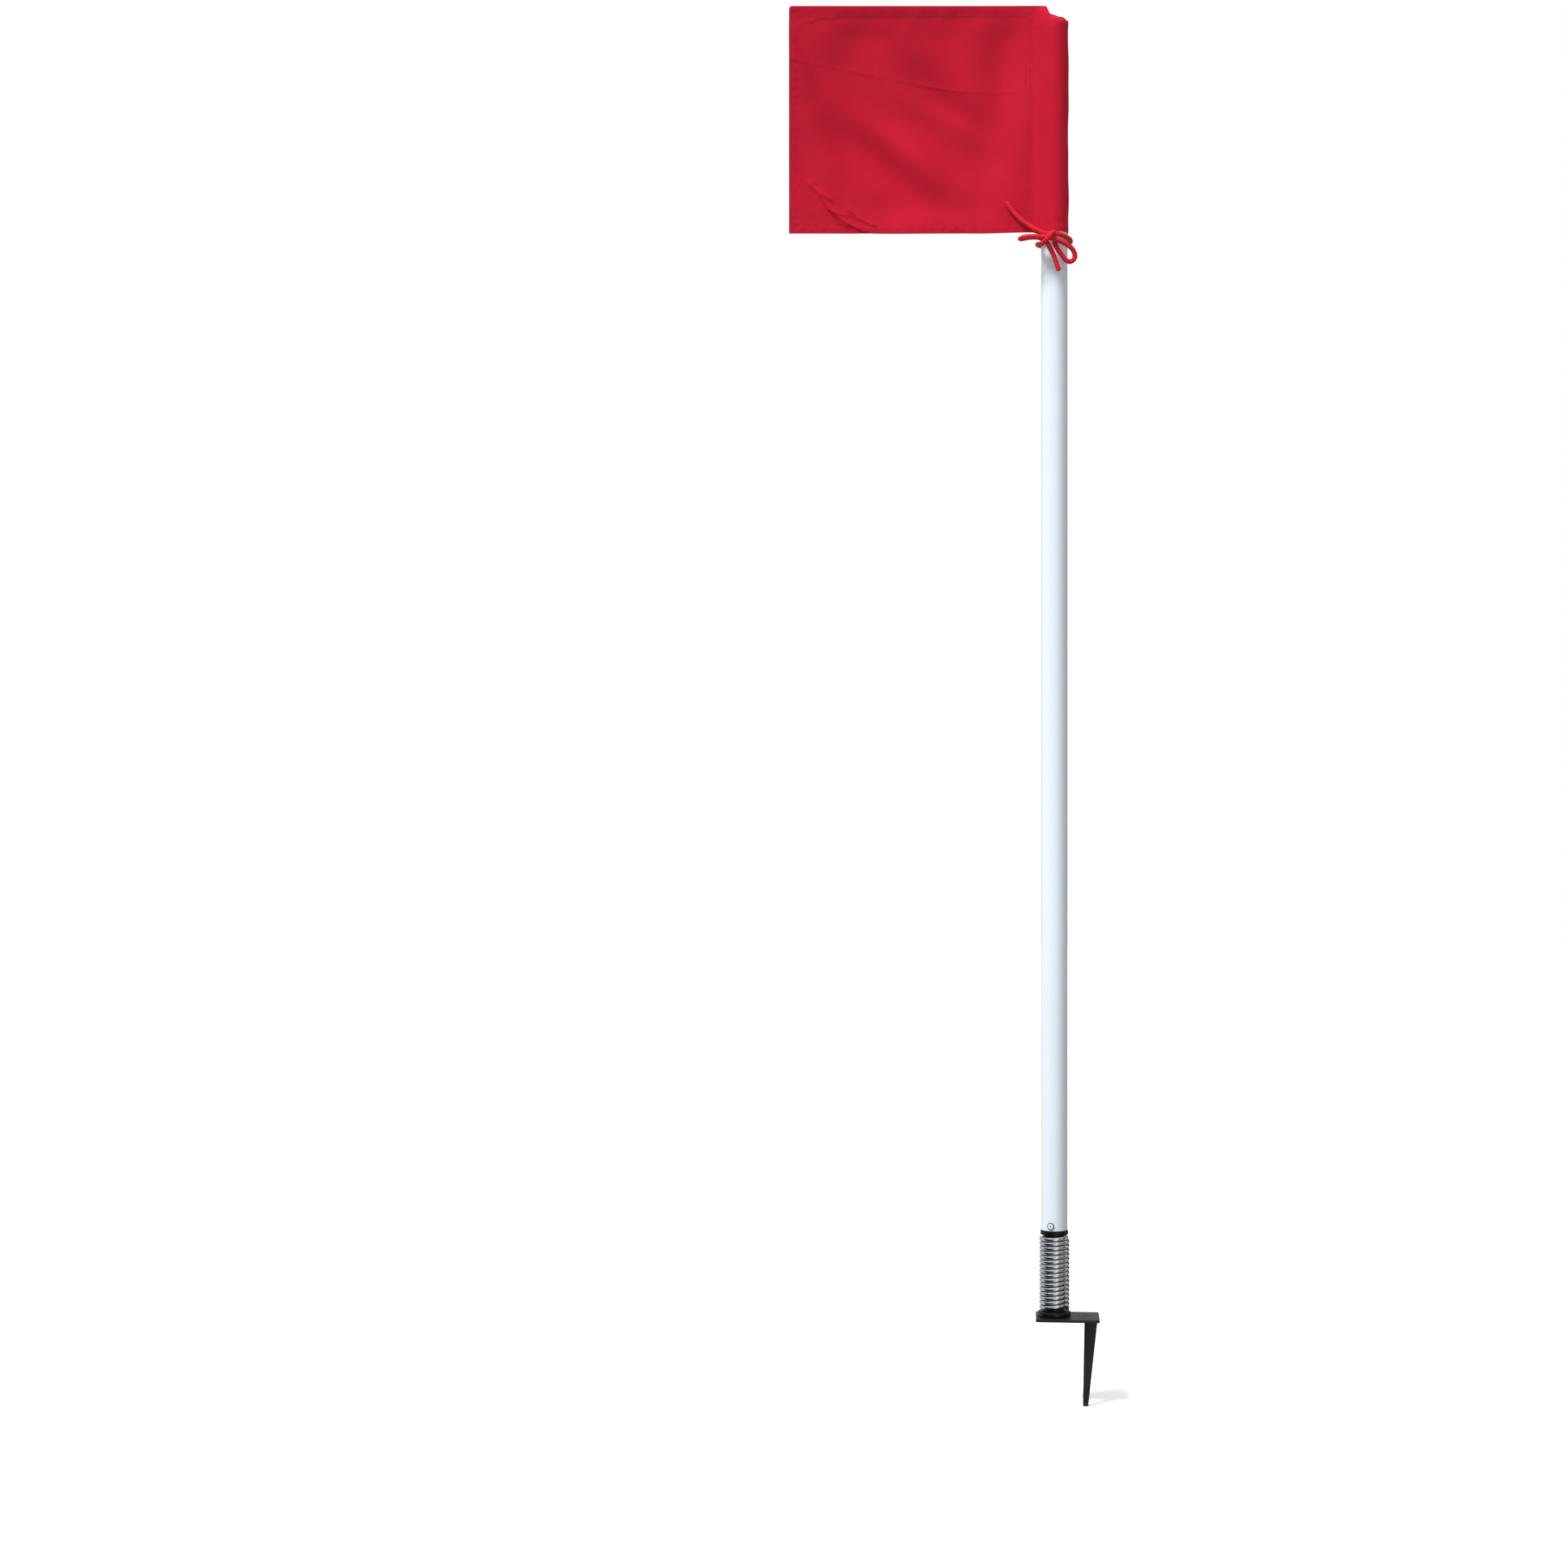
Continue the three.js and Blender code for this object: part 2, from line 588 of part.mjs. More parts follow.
// How far the panel stands towards the viewer at a place given in shares of its width and height
function foldDepth(across, up) {
  let depth = 0;
  for (const { from, to, width, rise } of FOLD_SHARES) {
    const [runX, runY] = [to[0] - from[0], to[1] - from[1]];
    const long = Math.hypot(runX, runY);
    const along = ((across - from[0]) * runX + (up - from[1]) * runY) / (long * long);
    const aside = ((across - from[0]) * runY - (up - from[1]) * runX) / long;
    const ends = Math.exp(-Math.pow((2 * along - 1) / FOLD_LENGTH_SHARE, 4));
    depth += rise * ends * Math.exp(-Math.pow(aside / width, 2));
  }
  const held = 1 - THREE.MathUtils.smoothstep(across, ...FOLD_HELD_SHARES);
  return FOLD_DEPTH * depth * held;
}

// A closed sheet between two grids of points, grid[column][row], the first of them facing the viewer
function sheet(front, back) {
  const [columns, rows] = [front.length, front[0].length];
  const [last, top] = [columns - 1, rows - 1];
  const faces = [];
  const quad = (a, b, c, d) => faces.push(a, b, c, a, c, d);
  const onFront = (i, j) => i * rows + j;
  const onBack = (i, j) => (columns + i) * rows + j;
  for (let i = 0; i + 1 < columns; i++) {
    for (let j = 0; j + 1 < rows; j++) {
      quad(onFront(i, j), onFront(i + 1, j), onFront(i + 1, j + 1), onFront(i, j + 1));
      quad(onBack(i, j), onBack(i, j + 1), onBack(i + 1, j + 1), onBack(i + 1, j));
    }
    quad(onFront(i, 0), onBack(i, 0), onBack(i + 1, 0), onFront(i + 1, 0));
    quad(onFront(i, top), onFront(i + 1, top), onBack(i + 1, top), onBack(i, top));
  }
  for (let j = 0; j + 1 < rows; j++) {
    quad(onFront(0, j), onFront(0, j + 1), onBack(0, j + 1), onBack(0, j));
    quad(onFront(last, j), onBack(last, j), onBack(last, j + 1), onFront(last, j + 1));
  }
  const geometry = new THREE.BufferGeometry().setFromPoints([...front.flat(), ...back.flat()]);
  geometry.setIndex(faces);
  geometry.computeVertexNormals();
  return geometry;
}

// Places from one end of the single cloth to the other, evenly spaced
function stations(from, to, count) {
  return Array.from({ length: count + 1 }, (_, i) => from + ((to - from) * i) / count);
}

// Panel: single cloth with a thicker hem along its top, its bottom and its free edge
function flagPanel() {
  const left = -SLEEVE_SEAM - SEAT_GAP - PANEL_WIDTH;
  const hemFoot = FLAG_HEIGHT - TOP_HEM;
  const across = [0, FLY_HEM, ...stations(FLY_HEM + HEM_SLOPE, PANEL_WIDTH, PANEL_COLUMNS)];
  const single = stations(BOTTOM_HEM + HEM_SLOPE, hemFoot - HEM_SLOPE, PANEL_ROWS);
  const up = [0, BOTTOM_HEM, ...single, hemFoot, FLAG_HEIGHT];
  const grid = (side) =>
    across.map((x) =>
      up.map((z) => {
        const hemmed = x <= FLY_HEM || z <= BOTTOM_HEM || z >= hemFoot;
        const half = (hemmed ? HEM_THICKNESS : PANEL_THICKNESS) / 2;
        const depth = foldDepth(x / PANEL_WIDTH, z / FLAG_HEIGHT);
        return new THREE.Vector3(left + x, side * half - depth, flagFloor + z);
      }),
    );
  return sheet(grid(-1), grid(1));
}

// Tie cord: from the long end on the flag's face, through the knot, round the pole, round the knot's
// bundle, out and back in the open loop, out and back in the loop that is seen edge-on, and down to
// the short end. Heights are counted from the flag's lower edge.
const CORD_ROUTE = [
  [-55.4, -7.5, 34.8], [-49.4, -8.6, 25.4], [-41.7, -9.9, 16.4], [-32.4, -12.4, 8.5],
  [-22.8, -16.2, 1.7], [-13.9, -18.9, -3], [-6.4, -19.4, -4.3], [1.5, -19.2, -4.1],
  [9.5, -15.9, -5.7], [16.1, -9, -8], [18.4, 0.6, -9.5], [15, 10.8, -10.5], [5.5, 17.6, -11.1],
  [-5.9, 17.5, -11.6], [-14.8, 11, -12], [-18.8, 1.3, -12.6], [-19.4, -8.1, -13.9],
  [-19.4, -18, -16.2], [-17.5, -28.1, -17.1], [-14, -35.5, -15.3], [-10.3, -38, -11.3],
  [-6.5, -36.3, -7], [-3.9, -31.6, -4.8], [-2.6, -26.6, -6.8], [-2.2, -24.6, -11.6],
  [-1.1, -24.9, -17.3], [1.8, -25.7, -23.3], [5.9, -25.4, -28.8], [10.8, -24.5, -34.8],
  [15.7, -24, -36.6], [19.9, -24, -33.9], [21, -24.6, -29.4], [17.8, -26, -22.4],
  [10.2, -28.1, -17.2],
  [1, -30.5, -13.4], [-8.7, -31.4, -10.7], [-19.1, -31.9, -9.8], [-29.1, -31.5, -9.5],
  [-36, -29.9, -9.8], [-40.1, -27.6, -10.6], [-41, -25.1, -10.9], [-39.5, -22.8, -10.5],
  [-35.1, -21.2, -9.4], [-28, -21.7, -8.5], [-19.7, -24.1, -9.4], [-12.6, -26.1, -13.3],
  [-8.8, -27.7, -19.1], [-5.8, -28.3, -25.1], [-2.4, -28.4, -32.7], [0.2, -28, -40.3],
  [2.7, -27.5, -47.9],
];

function tieCord() {
  const route = new THREE.CatmullRomCurve3(
    CORD_ROUTE.map(([x, y, z]) => new THREE.Vector3(x, y, z)),
    false,
    "centripetal",
  );
  const section = new THREE.Shape();
  for (let i = 0; i < CORD_SIDES; i++) {
    const around = (2 * Math.PI * i) / CORD_SIDES;
    const [x, y] = [CORD_RADIUS * Math.cos(around), CORD_RADIUS * Math.sin(around)];
    if (i === 0) section.moveTo(x, y);
    else section.lineTo(x, y);
  }
  return new THREE.ExtrudeGeometry(section, {
    steps: CORD_STEPS,
    bevelEnabled: false,
    extrudePath: route,
  });
}

const cornerFlag = new THREE.Group();

const foot = new THREE.Group();
foot.rotation.z = THREE.MathUtils.degToRad(FOOT_YAW_DEG);
foot.add(
  named("foot_plate", footPlate(), "blackSteel"),
  named("spike", spike(), "blackSteel"),
  named("weld_front", weldBead(-1), "blackSteel"),
  named("weld_back", weldBead(1), "blackSteel"),
  named("lower_plug", lowerPlug(), "blackPlastic"),
  named("foot_screw", footScrew(), "steel"),
  named("foot_washer", footWasher(), "steel"),
  named("foot_nut", footNut(), "steel"),
);

const rings = springRings();
const coilGap = leastSpringGap(rings).toFixed(2);
console.log(`least gap between the spring's coils: ${coilGap} mm, wanted over ${COIL_CLEARANCE}`);

const pole = new THREE.Group();
pole.add(
  named("upper_plug", cut(upperPlug(), rivetHole()), "blackPlastic"),
  named("rivet_body", rivetBody(), "rivet"),
  named("rivet_mandrel", rivetMandrel(), "steel"),
  named("pole_tube", poleTube(), "pole"),
  named("pole_cap", poleCap(), "pole"),
);

const flag = new THREE.Group();
const tie = named("tie_cord", tieCord(), "cord");
tie.position.z = flagFloor;
flag.add(named("flag_panel", flagPanel(), "cloth"), named("flag_sleeve", flagSleeve(), "cloth"), tie);

cornerFlag.add(foot, named("spring", skin(rings), "spring"), pole, flag);

export default cornerFlag;
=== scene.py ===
# %% [markdown]
# # A corner flag, dressed in Blender
# The frame comes from the CAD: its bodies, joints and solids are fixed. This lesson gives each
# piece its looks. All shapes are worked out in millimetres and put into the meshes in metres.

import math

import bpy
import numpy as np
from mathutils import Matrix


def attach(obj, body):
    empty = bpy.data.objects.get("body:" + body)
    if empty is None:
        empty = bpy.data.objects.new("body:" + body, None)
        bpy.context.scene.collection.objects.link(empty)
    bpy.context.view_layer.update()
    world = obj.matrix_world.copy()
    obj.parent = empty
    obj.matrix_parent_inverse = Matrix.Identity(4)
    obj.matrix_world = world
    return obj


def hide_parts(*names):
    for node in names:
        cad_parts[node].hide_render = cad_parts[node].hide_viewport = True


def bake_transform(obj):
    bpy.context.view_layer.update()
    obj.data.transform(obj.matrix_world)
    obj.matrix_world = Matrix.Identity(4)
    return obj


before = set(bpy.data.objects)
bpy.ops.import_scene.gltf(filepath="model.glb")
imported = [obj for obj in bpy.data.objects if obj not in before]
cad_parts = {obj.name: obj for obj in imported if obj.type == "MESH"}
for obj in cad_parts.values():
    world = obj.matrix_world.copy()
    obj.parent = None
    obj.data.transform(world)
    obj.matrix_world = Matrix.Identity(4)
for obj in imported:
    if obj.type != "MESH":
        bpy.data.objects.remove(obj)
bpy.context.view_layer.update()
MM = 0.001

# %% [markdown]
# ## Camera
# A camera could be fitted by eye, but here it follows from the photograph's scale: the whole
# frame is 1.792 m wide at the pole, so the lens is chosen from the distance and the sensor.

# %% Camera
FRAME_WIDTH = 1.7923
CAMERA_DISTANCE = 3.2
CAMERA_PLACE = (-0.3089, -CAMERA_DISTANCE, 0.6108)
SENSOR = 36

lens_data = bpy.data.cameras.new("viewer")
lens_data.sensor_width = SENSOR
lens_data.lens = SENSOR * CAMERA_DISTANCE / FRAME_WIDTH
viewer = bpy.data.objects.new("viewer", lens_data)
viewer.location = CAMERA_PLACE
viewer.rotation_euler = (math.pi / 2, 0, 0)
bpy.context.scene.collection.objects.link(viewer)
bpy.context.scene.camera = viewer
print("camera", CAMERA_PLACE, "lens", round(lens_data.lens, 1))

# %% [markdown]
# ## Tools for meshes
# Every new piece is a grid of points worked out with numpy. These helpers join a grid into faces,
# close its ends, and put it into a mesh. A closed mesh has a signed volume: where it comes out
# negative, all faces are turned over, so that they point outwards.

# %% Grids and meshes
def full_turn(count):
    """Angles evenly once round."""
    return np.linspace(0, 2 * math.pi, count, endpoint=False)


def together(*parts):
    """Arrays spread to one shape and joined as the last axis."""
    return np.stack(np.broadcast_arrays(*parts), -1)


def grid_faces(rows, columns, ring_rows=False, ring_columns=False):
    """Cell (i, j) joins the points (i, j), (i, j+1), (i+1, j+1) and (i+1, j) of a grid."""
    i = np.arange(rows if ring_rows else rows - 1)[:, None]
    j = np.arange(columns if ring_columns else columns - 1)[None, :]
    below, above = i * columns, (i + 1) % rows * columns
    right = (j + 1) % columns
    return together(below + j, below + right, above + right, above + j)


def fan_faces(ring, centre):
    """Triangles from a ring of point numbers to one centre point."""
    return np.stack([ring, np.roll(ring, -1), np.full(len(ring), centre)], -1)


def face_volume(points, faces):
    """A sixth of the sum of a . (b x c) over the triangles: the volume that closed faces hold."""
    total = 0.0
    for k in range(1, faces.shape[-1] - 1):
        a, b, c = points[faces[:, 0]], points[faces[:, k]], points[faces[:, k + 1]]
        total += float(np.einsum("ij,ij->", a, np.cross(b, c))) / 6
    return total


def make_piece(name, points, face_sets, sharp_deg=None, values=None, uv=None):
    """A mesh object from points in mm and arrays of faces. values are numbers kept on the points,
    and uv is a pair of mm for each point."""
    points = np.asarray(points, float).reshape(-1, 3)
    sets = [np.asarray(f).reshape(-1, np.shape(f)[-1]) for f in face_sets]
    if sum(face_volume(points, f) for f in sets) < 0:
        sets = [f[:, ::-1] for f in sets]
    mesh = bpy.data.meshes.new(name)
    mesh.from_pydata((points * MM).tolist(), [], [face for f in sets for face in f.tolist()])
    mesh.shade_smooth()
    if sharp_deg is not None:
        mesh.set_sharp_from_angle(angle=math.radians(sharp_deg))
    for key, value in (values or {}).items():
        layer = mesh.attributes.new(key, "FLOAT", "POINT")
        layer.data.foreach_set("value", np.asarray(value, np.float32).ravel())
    if uv is not None:
        corner = np.zeros(len(mesh.loops), np.int32)
        mesh.loops.foreach_get("vertex_index", corner)
        layer = mesh.uv_layers.new(name="on_piece")
        layer.data.foreach_set("uv", np.asarray(uv, np.float32).reshape(-1, 2)[corner].ravel())
    shape = bpy.data.objects.new(name, mesh)
    bpy.context.scene.collection.objects.link(shape)
    print(name, len(points), "points,", sum(len(f) * (f.shape[-1] - 2) for f in sets), "triangles")
    return shape


# %% [markdown]
# A tube along a curve needs a direction across it at every station. A fixed helper direction gives
# one, but it twists; the twist from station to station is measured and its running sum taken off,
# so the braid on the cord doesn't spin.

# %% Curves and frames along them
def smooth_route(knots, spacing):
    """A centripetal Catmull-Rom curve through the knots, with points spaced evenly along it."""
    knots = np.asarray(knots, float)
    ends = [2 * knots[0] - knots[1]], [2 * knots[-1] - knots[-2]]
    p = np.concatenate([ends[0], knots, ends[1]])
    gap = np.sqrt(np.linalg.norm(np.diff(p, axis=0), axis=1))[:, None]
    p0, p1, p2, p3 = p[:-3], p[1:-2], p[2:-1], p[3:]
    g0, g1, g2 = gap[:-2], gap[1:-1], gap[2:]
    leave = ((p1 - p0) / g0 - (p2 - p0) / (g0 + g1) + (p2 - p1) / g1) * g1
    arrive = ((p2 - p1) / g1 - (p3 - p1) / (g1 + g2) + (p3 - p2) / g2) * g1
    t = np.linspace(0, 1, 41)[:-1, None, None]
    curve = (
        p1
        + leave * t
        + (3 * (p2 - p1) - 2 * leave - arrive) * t**2
        + (2 * (p1 - p2) + leave + arrive) * t**3
    )
    curve = np.concatenate([curve.transpose(1, 0, 2).reshape(-1, 3), knots[-1:]])
    along = np.r_[0, np.cumsum(np.linalg.norm(np.diff(curve, axis=0), axis=1))]
    even = np.linspace(0, along[-1], int(along[-1] / spacing) + 1)
    return np.stack([np.interp(even, along, curve[:, k]) for k in range(3)], 1), even


def unit(v):
    """Each vector divided by its own length."""
    return v / np.maximum(np.linalg.norm(v, axis=-1, keepdims=True), 1e-12)


def steady_frames(path):
    """Tangents, and two directions across them that don't twist along the path."""
    tangent = unit(np.gradient(path, axis=0))
    tries = unit(np.random.default_rng(3).normal(size=(300, 3)))
    safe = np.linalg.norm(np.cross(tangent[None], tries[:, None]), axis=-1).min(axis=1)
    side = unit(np.cross(tangent, tries[np.argmax(safe)]))
    up = np.cross(tangent, side)
    carried = side[:-1] - tangent[1:] * np.einsum("ij,ij->i", side[:-1], tangent[1:])[:, None]
    step = np.arctan2(
        np.einsum("ij,ij->i", carried, up[1:]), np.einsum("ij,ij->i", carried, side[1:])
    )
    twist = np.r_[0, np.cumsum(step)][:, None]
    return tangent, side * np.cos(twist) + up * np.sin(twist), up * np.cos(twist) - side * np.sin(twist)


def tube(path, side, up, radius, around):
    """Rings about the path: centre + radius x (cos a x side + sin a x up). radius may be a table
    with a row for each station and a column for each angle."""
    a = full_turn(around)
    ring = np.cos(a)[:, None] * side[:, None] + np.sin(a)[:, None] * up[:, None]
    return path[:, None] + np.broadcast_to(radius, ring.shape[:2])[..., None] * ring


def closed_tube(rings):
    """Points and faces of a tube with both ends closed on their middles."""
    stations, around = rings.shape[:2]
    points = np.concatenate([rings.reshape(-1, 3), rings[0].mean(0)[None], rings[-1].mean(0)[None]])
    first = np.arange(around)[::-1]
    last = (stations - 1) * around + np.arange(around)
    walls = grid_faces(stations, around, ring_columns=True).reshape(-1, 4)
    caps = np.concatenate([fan_faces(first, len(points) - 2), fan_faces(last, len(points) - 1)])
    return points, [walls, caps]


# %% [markdown]
# ## The tie cord
# The real cord is braided from flat bundles of yarn that pass over each other, so its surface
# shows rows of slanting plaits, each row leaning the other way than its neighbours. A picture on a
# round tube would look flat at its outline. Here the plaits are in the mesh: the radius is a
# function of the place along the cord and round it. The route is the CAD's own.

# %% Cord route
CORD_DIAMETER = 5.8
FLAG_FLOOR = 1240.0
CORD_ROUTE = [
    [-55.4, -7.5, 34.8], [-49.4, -8.6, 25.4], [-41.7, -9.9, 16.4], [-32.4, -12.4, 8.5],
    [-22.8, -16.2, 1.7], [-13.9, -18.9, -3], [-6.4, -19.4, -4.3], [1.5, -19.2, -4.1],
    [9.5, -15.9, -5.7], [16.1, -9, -8], [18.4, 0.6, -9.5], [15, 10.8, -10.5], [5.5, 17.6, -11.1],
    [-5.9, 17.5, -11.6], [-14.8, 11, -12], [-18.8, 1.3, -12.6], [-19.4, -8.1, -13.9],
    [-19.4, -18, -16.2], [-17.5, -28.1, -17.1], [-14, -35.5, -15.3], [-10.3, -38, -11.3],
    [-6.5, -36.3, -7], [-3.9, -31.6, -4.8], [-2.6, -26.6, -6.8], [-2.2, -24.6, -11.6],
    [-1.1, -24.9, -17.3], [1.8, -25.7, -23.3], [5.9, -25.4, -28.8], [10.8, -24.5, -34.8],
    [15.7, -24, -36.6], [19.9, -24, -33.9], [21, -24.6, -29.4], [17.8, -26, -22.4],
    [10.2, -28.1, -17.2],
    [1, -30.5, -13.4], [-8.7, -31.4, -10.7], [-19.1, -31.9, -9.8], [-29.1, -31.5, -9.5],
    [-36, -29.9, -9.8], [-40.1, -27.6, -10.6], [-41, -25.1, -10.9], [-39.5, -22.8, -10.5],
    [-35.1, -21.2, -9.4], [-28, -21.7, -8.5], [-19.7, -24.1, -9.4], [-12.6, -26.1, -13.3],
    [-8.8, -27.7, -19.1], [-5.8, -28.3, -25.1], [-2.4, -28.4, -32.7], [0.2, -28, -40.3],
    [2.7, -27.5, -47.9],
]
CORD_STEP = 0.45
cord_line, cord_along = smooth_route(np.array(CORD_ROUTE) + [0, 0, FLAG_FLOOR], CORD_STEP)
CORD_LENGTH = float(cord_along[-1])
print("cord", round(CORD_LENGTH, 1), "mm")

# %% Braided cord
CORD_SIDES = 64
PLAIT_ROWS = 6
PLAIT_LENGTH = 4.1
PLAIT_DEPTH = 0.55
PLAIT_SLANT = 0.42
PLAIT_SHIFT = 0.25
PLAIT_SIDES = 0.45
TAIL_THINNER = 0.06
TAIL_LENGTH = 62
TIP_LENGTH = 1.6
TIP_FLAT = 0.06


def plait_height(along, angle):
    """1 on a plait's back and 0 in the grooves. The angle falls into rows; in each row plaits
    repeat along the cord, slanted by the place across the row, one row left and the next right."""
    row = angle / (2 * math.pi) * PLAIT_ROWS
    across = 2 * (row % 1) - 1
    lean = np.where(np.floor(row) % 2 == 0, 1.0, -1.0)
    beat = (along / PLAIT_LENGTH + PLAIT_SLANT * lean * across + PLAIT_SHIFT * (1 - lean)) % 1
    back = np.sqrt(np.clip(1 - (2 * beat - 1) ** 2, 0, 1))
    return back * (1 - PLAIT_SIDES * across**4)


angles = full_turn(CORD_SIDES)[None, :]
stations = cord_along[:, None]
plaits = plait_height(stations, angles)
thin = 1 - TAIL_THINNER * np.sqrt(np.clip(1 - stations / TAIL_LENGTH, 0, 1))
to_end = np.minimum(stations, CORD_LENGTH - stations)
tip = np.sqrt(np.clip(1 - (1 - np.clip(to_end / TIP_LENGTH, 0, 1)) ** 2, TIP_FLAT, 1))
cord_radius = (CORD_DIAMETER / 2 * thin - PLAIT_DEPTH * (1 - plaits)) * tip
_, cord_side, cord_up = steady_frames(cord_line)
cord_points, cord_faces = closed_tube(tube(cord_line, cord_side, cord_up, cord_radius, CORD_SIDES))
unrolled = together(stations, np.abs(angles - math.pi) * (CORD_DIAMETER / 2))
unrolled = np.concatenate([unrolled.reshape(-1, 2), [[0, 0], [CORD_LENGTH, 0]]])
braid = make_piece(
    "braided_cord", cord_points, cord_faces, uv=unrolled, values={"plait": np.r_[plaits.ravel(), 1, 1]}
)
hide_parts("tie_cord")
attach(braid, "flag")

# %% [markdown]
# ## The cloth
# The flag is one piece of thin nylon: a panel that runs on into a sleeve round the pole and is
# sewn back on itself. Simulation could hang it, but the folds in the photograph are known, so the
# cloth is a height field: the sum of broad leaning ridges, one pressed crease from how it was
# packed, small sharp wrinkles, and the puckers that a sewing machine leaves along a hem.

# %% Cloth sizes
PANEL_LEFT = -303.2
SEAM_X = -25.5
PANEL_WIDTH = SEAM_X - PANEL_LEFT
FLAG_HEIGHT = 260.0
SLEEVE_RADIUS = 15.9
SHOULDER = 236.0
RIDGE = 1.6
SINGLE = 0.45
HEMMED = 1.25
TOP_HEM = 13.0
BOTTOM_HEM = 7.0
FLY_HEM = 7.5
ALLOWANCE = 8.0


def smoothstep(x, low, high):
    """0 below low, 1 above high, and 3t^2 - 2t^3 between them."""
    t = np.clip((x - low) / (high - low), 0, 1)
    return t * t * (3 - 2 * t)


def stops(marks, step):
    """Numbers from the first mark to the last, through every mark, about a step apart."""
    runs = [
        np.linspace(a, b, max(1, round((b - a) / step)), endpoint=False)
        for a, b in zip(marks, marks[1:])
    ]
    return np.r_[np.concatenate(runs), marks[-1]]


# %% Folds of the panel
# Each ridge runs from one place to another, in mm from the free edge and the bottom, with the
# widths of its flanks to the right and to the left of its way, and its height. The light comes
# nearly along the folds, so they are deeper than their soft light and dark suggests.
RIDGES = [
    # the two long folds that cross the middle, and the hollows that they rise from
    ((75, 135), (210, 30), 22, 22, 11),
    ((130, 160), (225, 100), 15, 13, 3),
    ((55, 130), (235, 10), 40, 35, -16),
    ((110, 195), (235, 65), 85, 5, -8),
    # the swells on the seam's side, above and below, and the long hollow left of them
    ((235, 320), (195, 140), 90, 30, 28),
    ((165, 120), (225, -115), 50, 145, 38),
    ((160, -345), (230, 410), 175, 33, -30),
    # the free edge: two hollows from the top hem, a short fold, and the edge's own lean
    ((5, 250), (40, 170), 10, 25, -4.5),
    ((115, 320), (60, 150), 32, 46, -7.5),
    ((20, 140), (55, 70), 17, 19, 4),
    ((-230, -15), (-15, 265), 80, 170, 7),
]
# Pressed and sharp creases: the points they run through, their width and their depth.
CREASES = [
    ([(-4, 200), (60, 188), (101, 180.4), (197, 161.9), (236, 161), (282, 163)], 1.4, 0.38),
    ([(150, 171), (197, 161.5), (206, 156)], 1.2, 0.4),
    ([(100, 188), (101, 181), (102, 174)], 1.2, 0.7),
    ([(195, 170), (198, 163), (199, 154)], 1.2, 0.7),
    ([(226, 167), (228, 161), (227, 151)], 1.2, 0.45),
    ([(293, 168), (294, 161), (293, 155)], 1.2, 0.4),
    ([(24, 55), (34, 46), (47, 38)], 1.2, 1.7),
    ([(35, 43), (46, 27), (63, 13), (86, 2)], 1.3, 2.4),
    ([(47, 26), (60, 21), (66, 20)], 1.3, 1.3),
    ([(50, 22), (58, 12), (66, 8)], 1.2, 1.3),
    ([(68, 27), (80, 17), (97, 9)], 1.2, 1.7),
    ([(80, 17), (84, 8), (93, 1)], 1.2, 1.3),
    ([(24, 242), (36, 247), (50, 246)], 1.4, 0.9),
    ([(10, 232), (12, 238), (10, 244)], 1.2, 0.4),
    ([(188, 4), (192, 8), (200, 2)], 1.3, 0.8),
    ([(0, 168), (14, 160), (26, 158)], 1.8, 0.4),
    ([(0, 60), (14, 56), (30, 57)], 1.8, 0.35),
]


def ridge_height(u, v, start, end, right, left, rise):
    """rise x exp(-(aside / width)^2), fading out past both ends; the width goes over from the right
    flank's to the left flank's."""
    run = np.subtract(end, start)
    long = math.hypot(*run)
    along = ((u - start[0]) * run[0] + (v - start[1]) * run[1]) / long**2
    aside = ((v - start[1]) * run[0] - (u - start[0]) * run[1]) / long
    width = right + (left - right) * (0.5 + 0.5 * np.tanh(aside / right))
    return rise * np.exp(-((np.abs(2 * along - 1) / 1.12) ** 4)) * np.exp(-((aside / width) ** 2))


def crease_height(u, v, through, width, depth):
    """depth x exp(-distance / width) from the nearest stretch of a broken line. The side to the
    left of the line's way is three times as gentle."""
    nearest, gentle = np.full(np.shape(u), np.inf), np.zeros(np.shape(u), bool)
    for a, b in zip(through, through[1:]):
        run = np.subtract(b, a)
        t = np.clip(((u - a[0]) * run[0] + (v - a[1]) * run[1]) / (run @ run), 0, 1)
        away = np.hypot(u - a[0] - t * run[0], v - a[1] - t * run[1])
        left = (v - a[1]) * run[0] > (u - a[0]) * run[1]
        gentle = np.where(away < nearest, left, gentle)
        nearest = np.minimum(nearest, away)
    return depth * np.exp(-nearest / (width * np.where(gentle, 3, 1)))


# %% Puckers
# The short waves below the top hem: place along it, lean, width and height.
PUCKERS = [
    (24, -5, 6, 0.7), (49, 4, 6, 0.6), (80, -6, 5, 0.7), (104, -9, 7, 1.2), (121, -12, 8, 1.8),
    (138, -8, 4, 0.7), (150, -14, 6, 2.0), (163, -9, 4, 0.6), (184, -18, 8, 2.2), (207, -12, 5, 0.9),
    (230, -15, 10, 2.0), (252, -9, 5, 0.8),
]
PUCKER_REACH = 22
# Fine waves along a seam: height, width beside it, length, and how slowly their beat wanders.
SEAM_WAVES, FLY_WAVES, LOW_WAVES = (0.14, 5, 8.4, 19), (0.16, 4, 10.5, 23), (0.2, 4, 13, 31)


def seam_waves(beside, along, height, width, length, wander):
    """height x exp(-(beside / width)^2) x a sine along the seam, whose beat a slow sine shifts."""
    beat = 2 * math.pi * along / length + 2 * np.sin(along / wander)
    return height * np.exp(-((beside / width) ** 2)) * np.sin(beat)


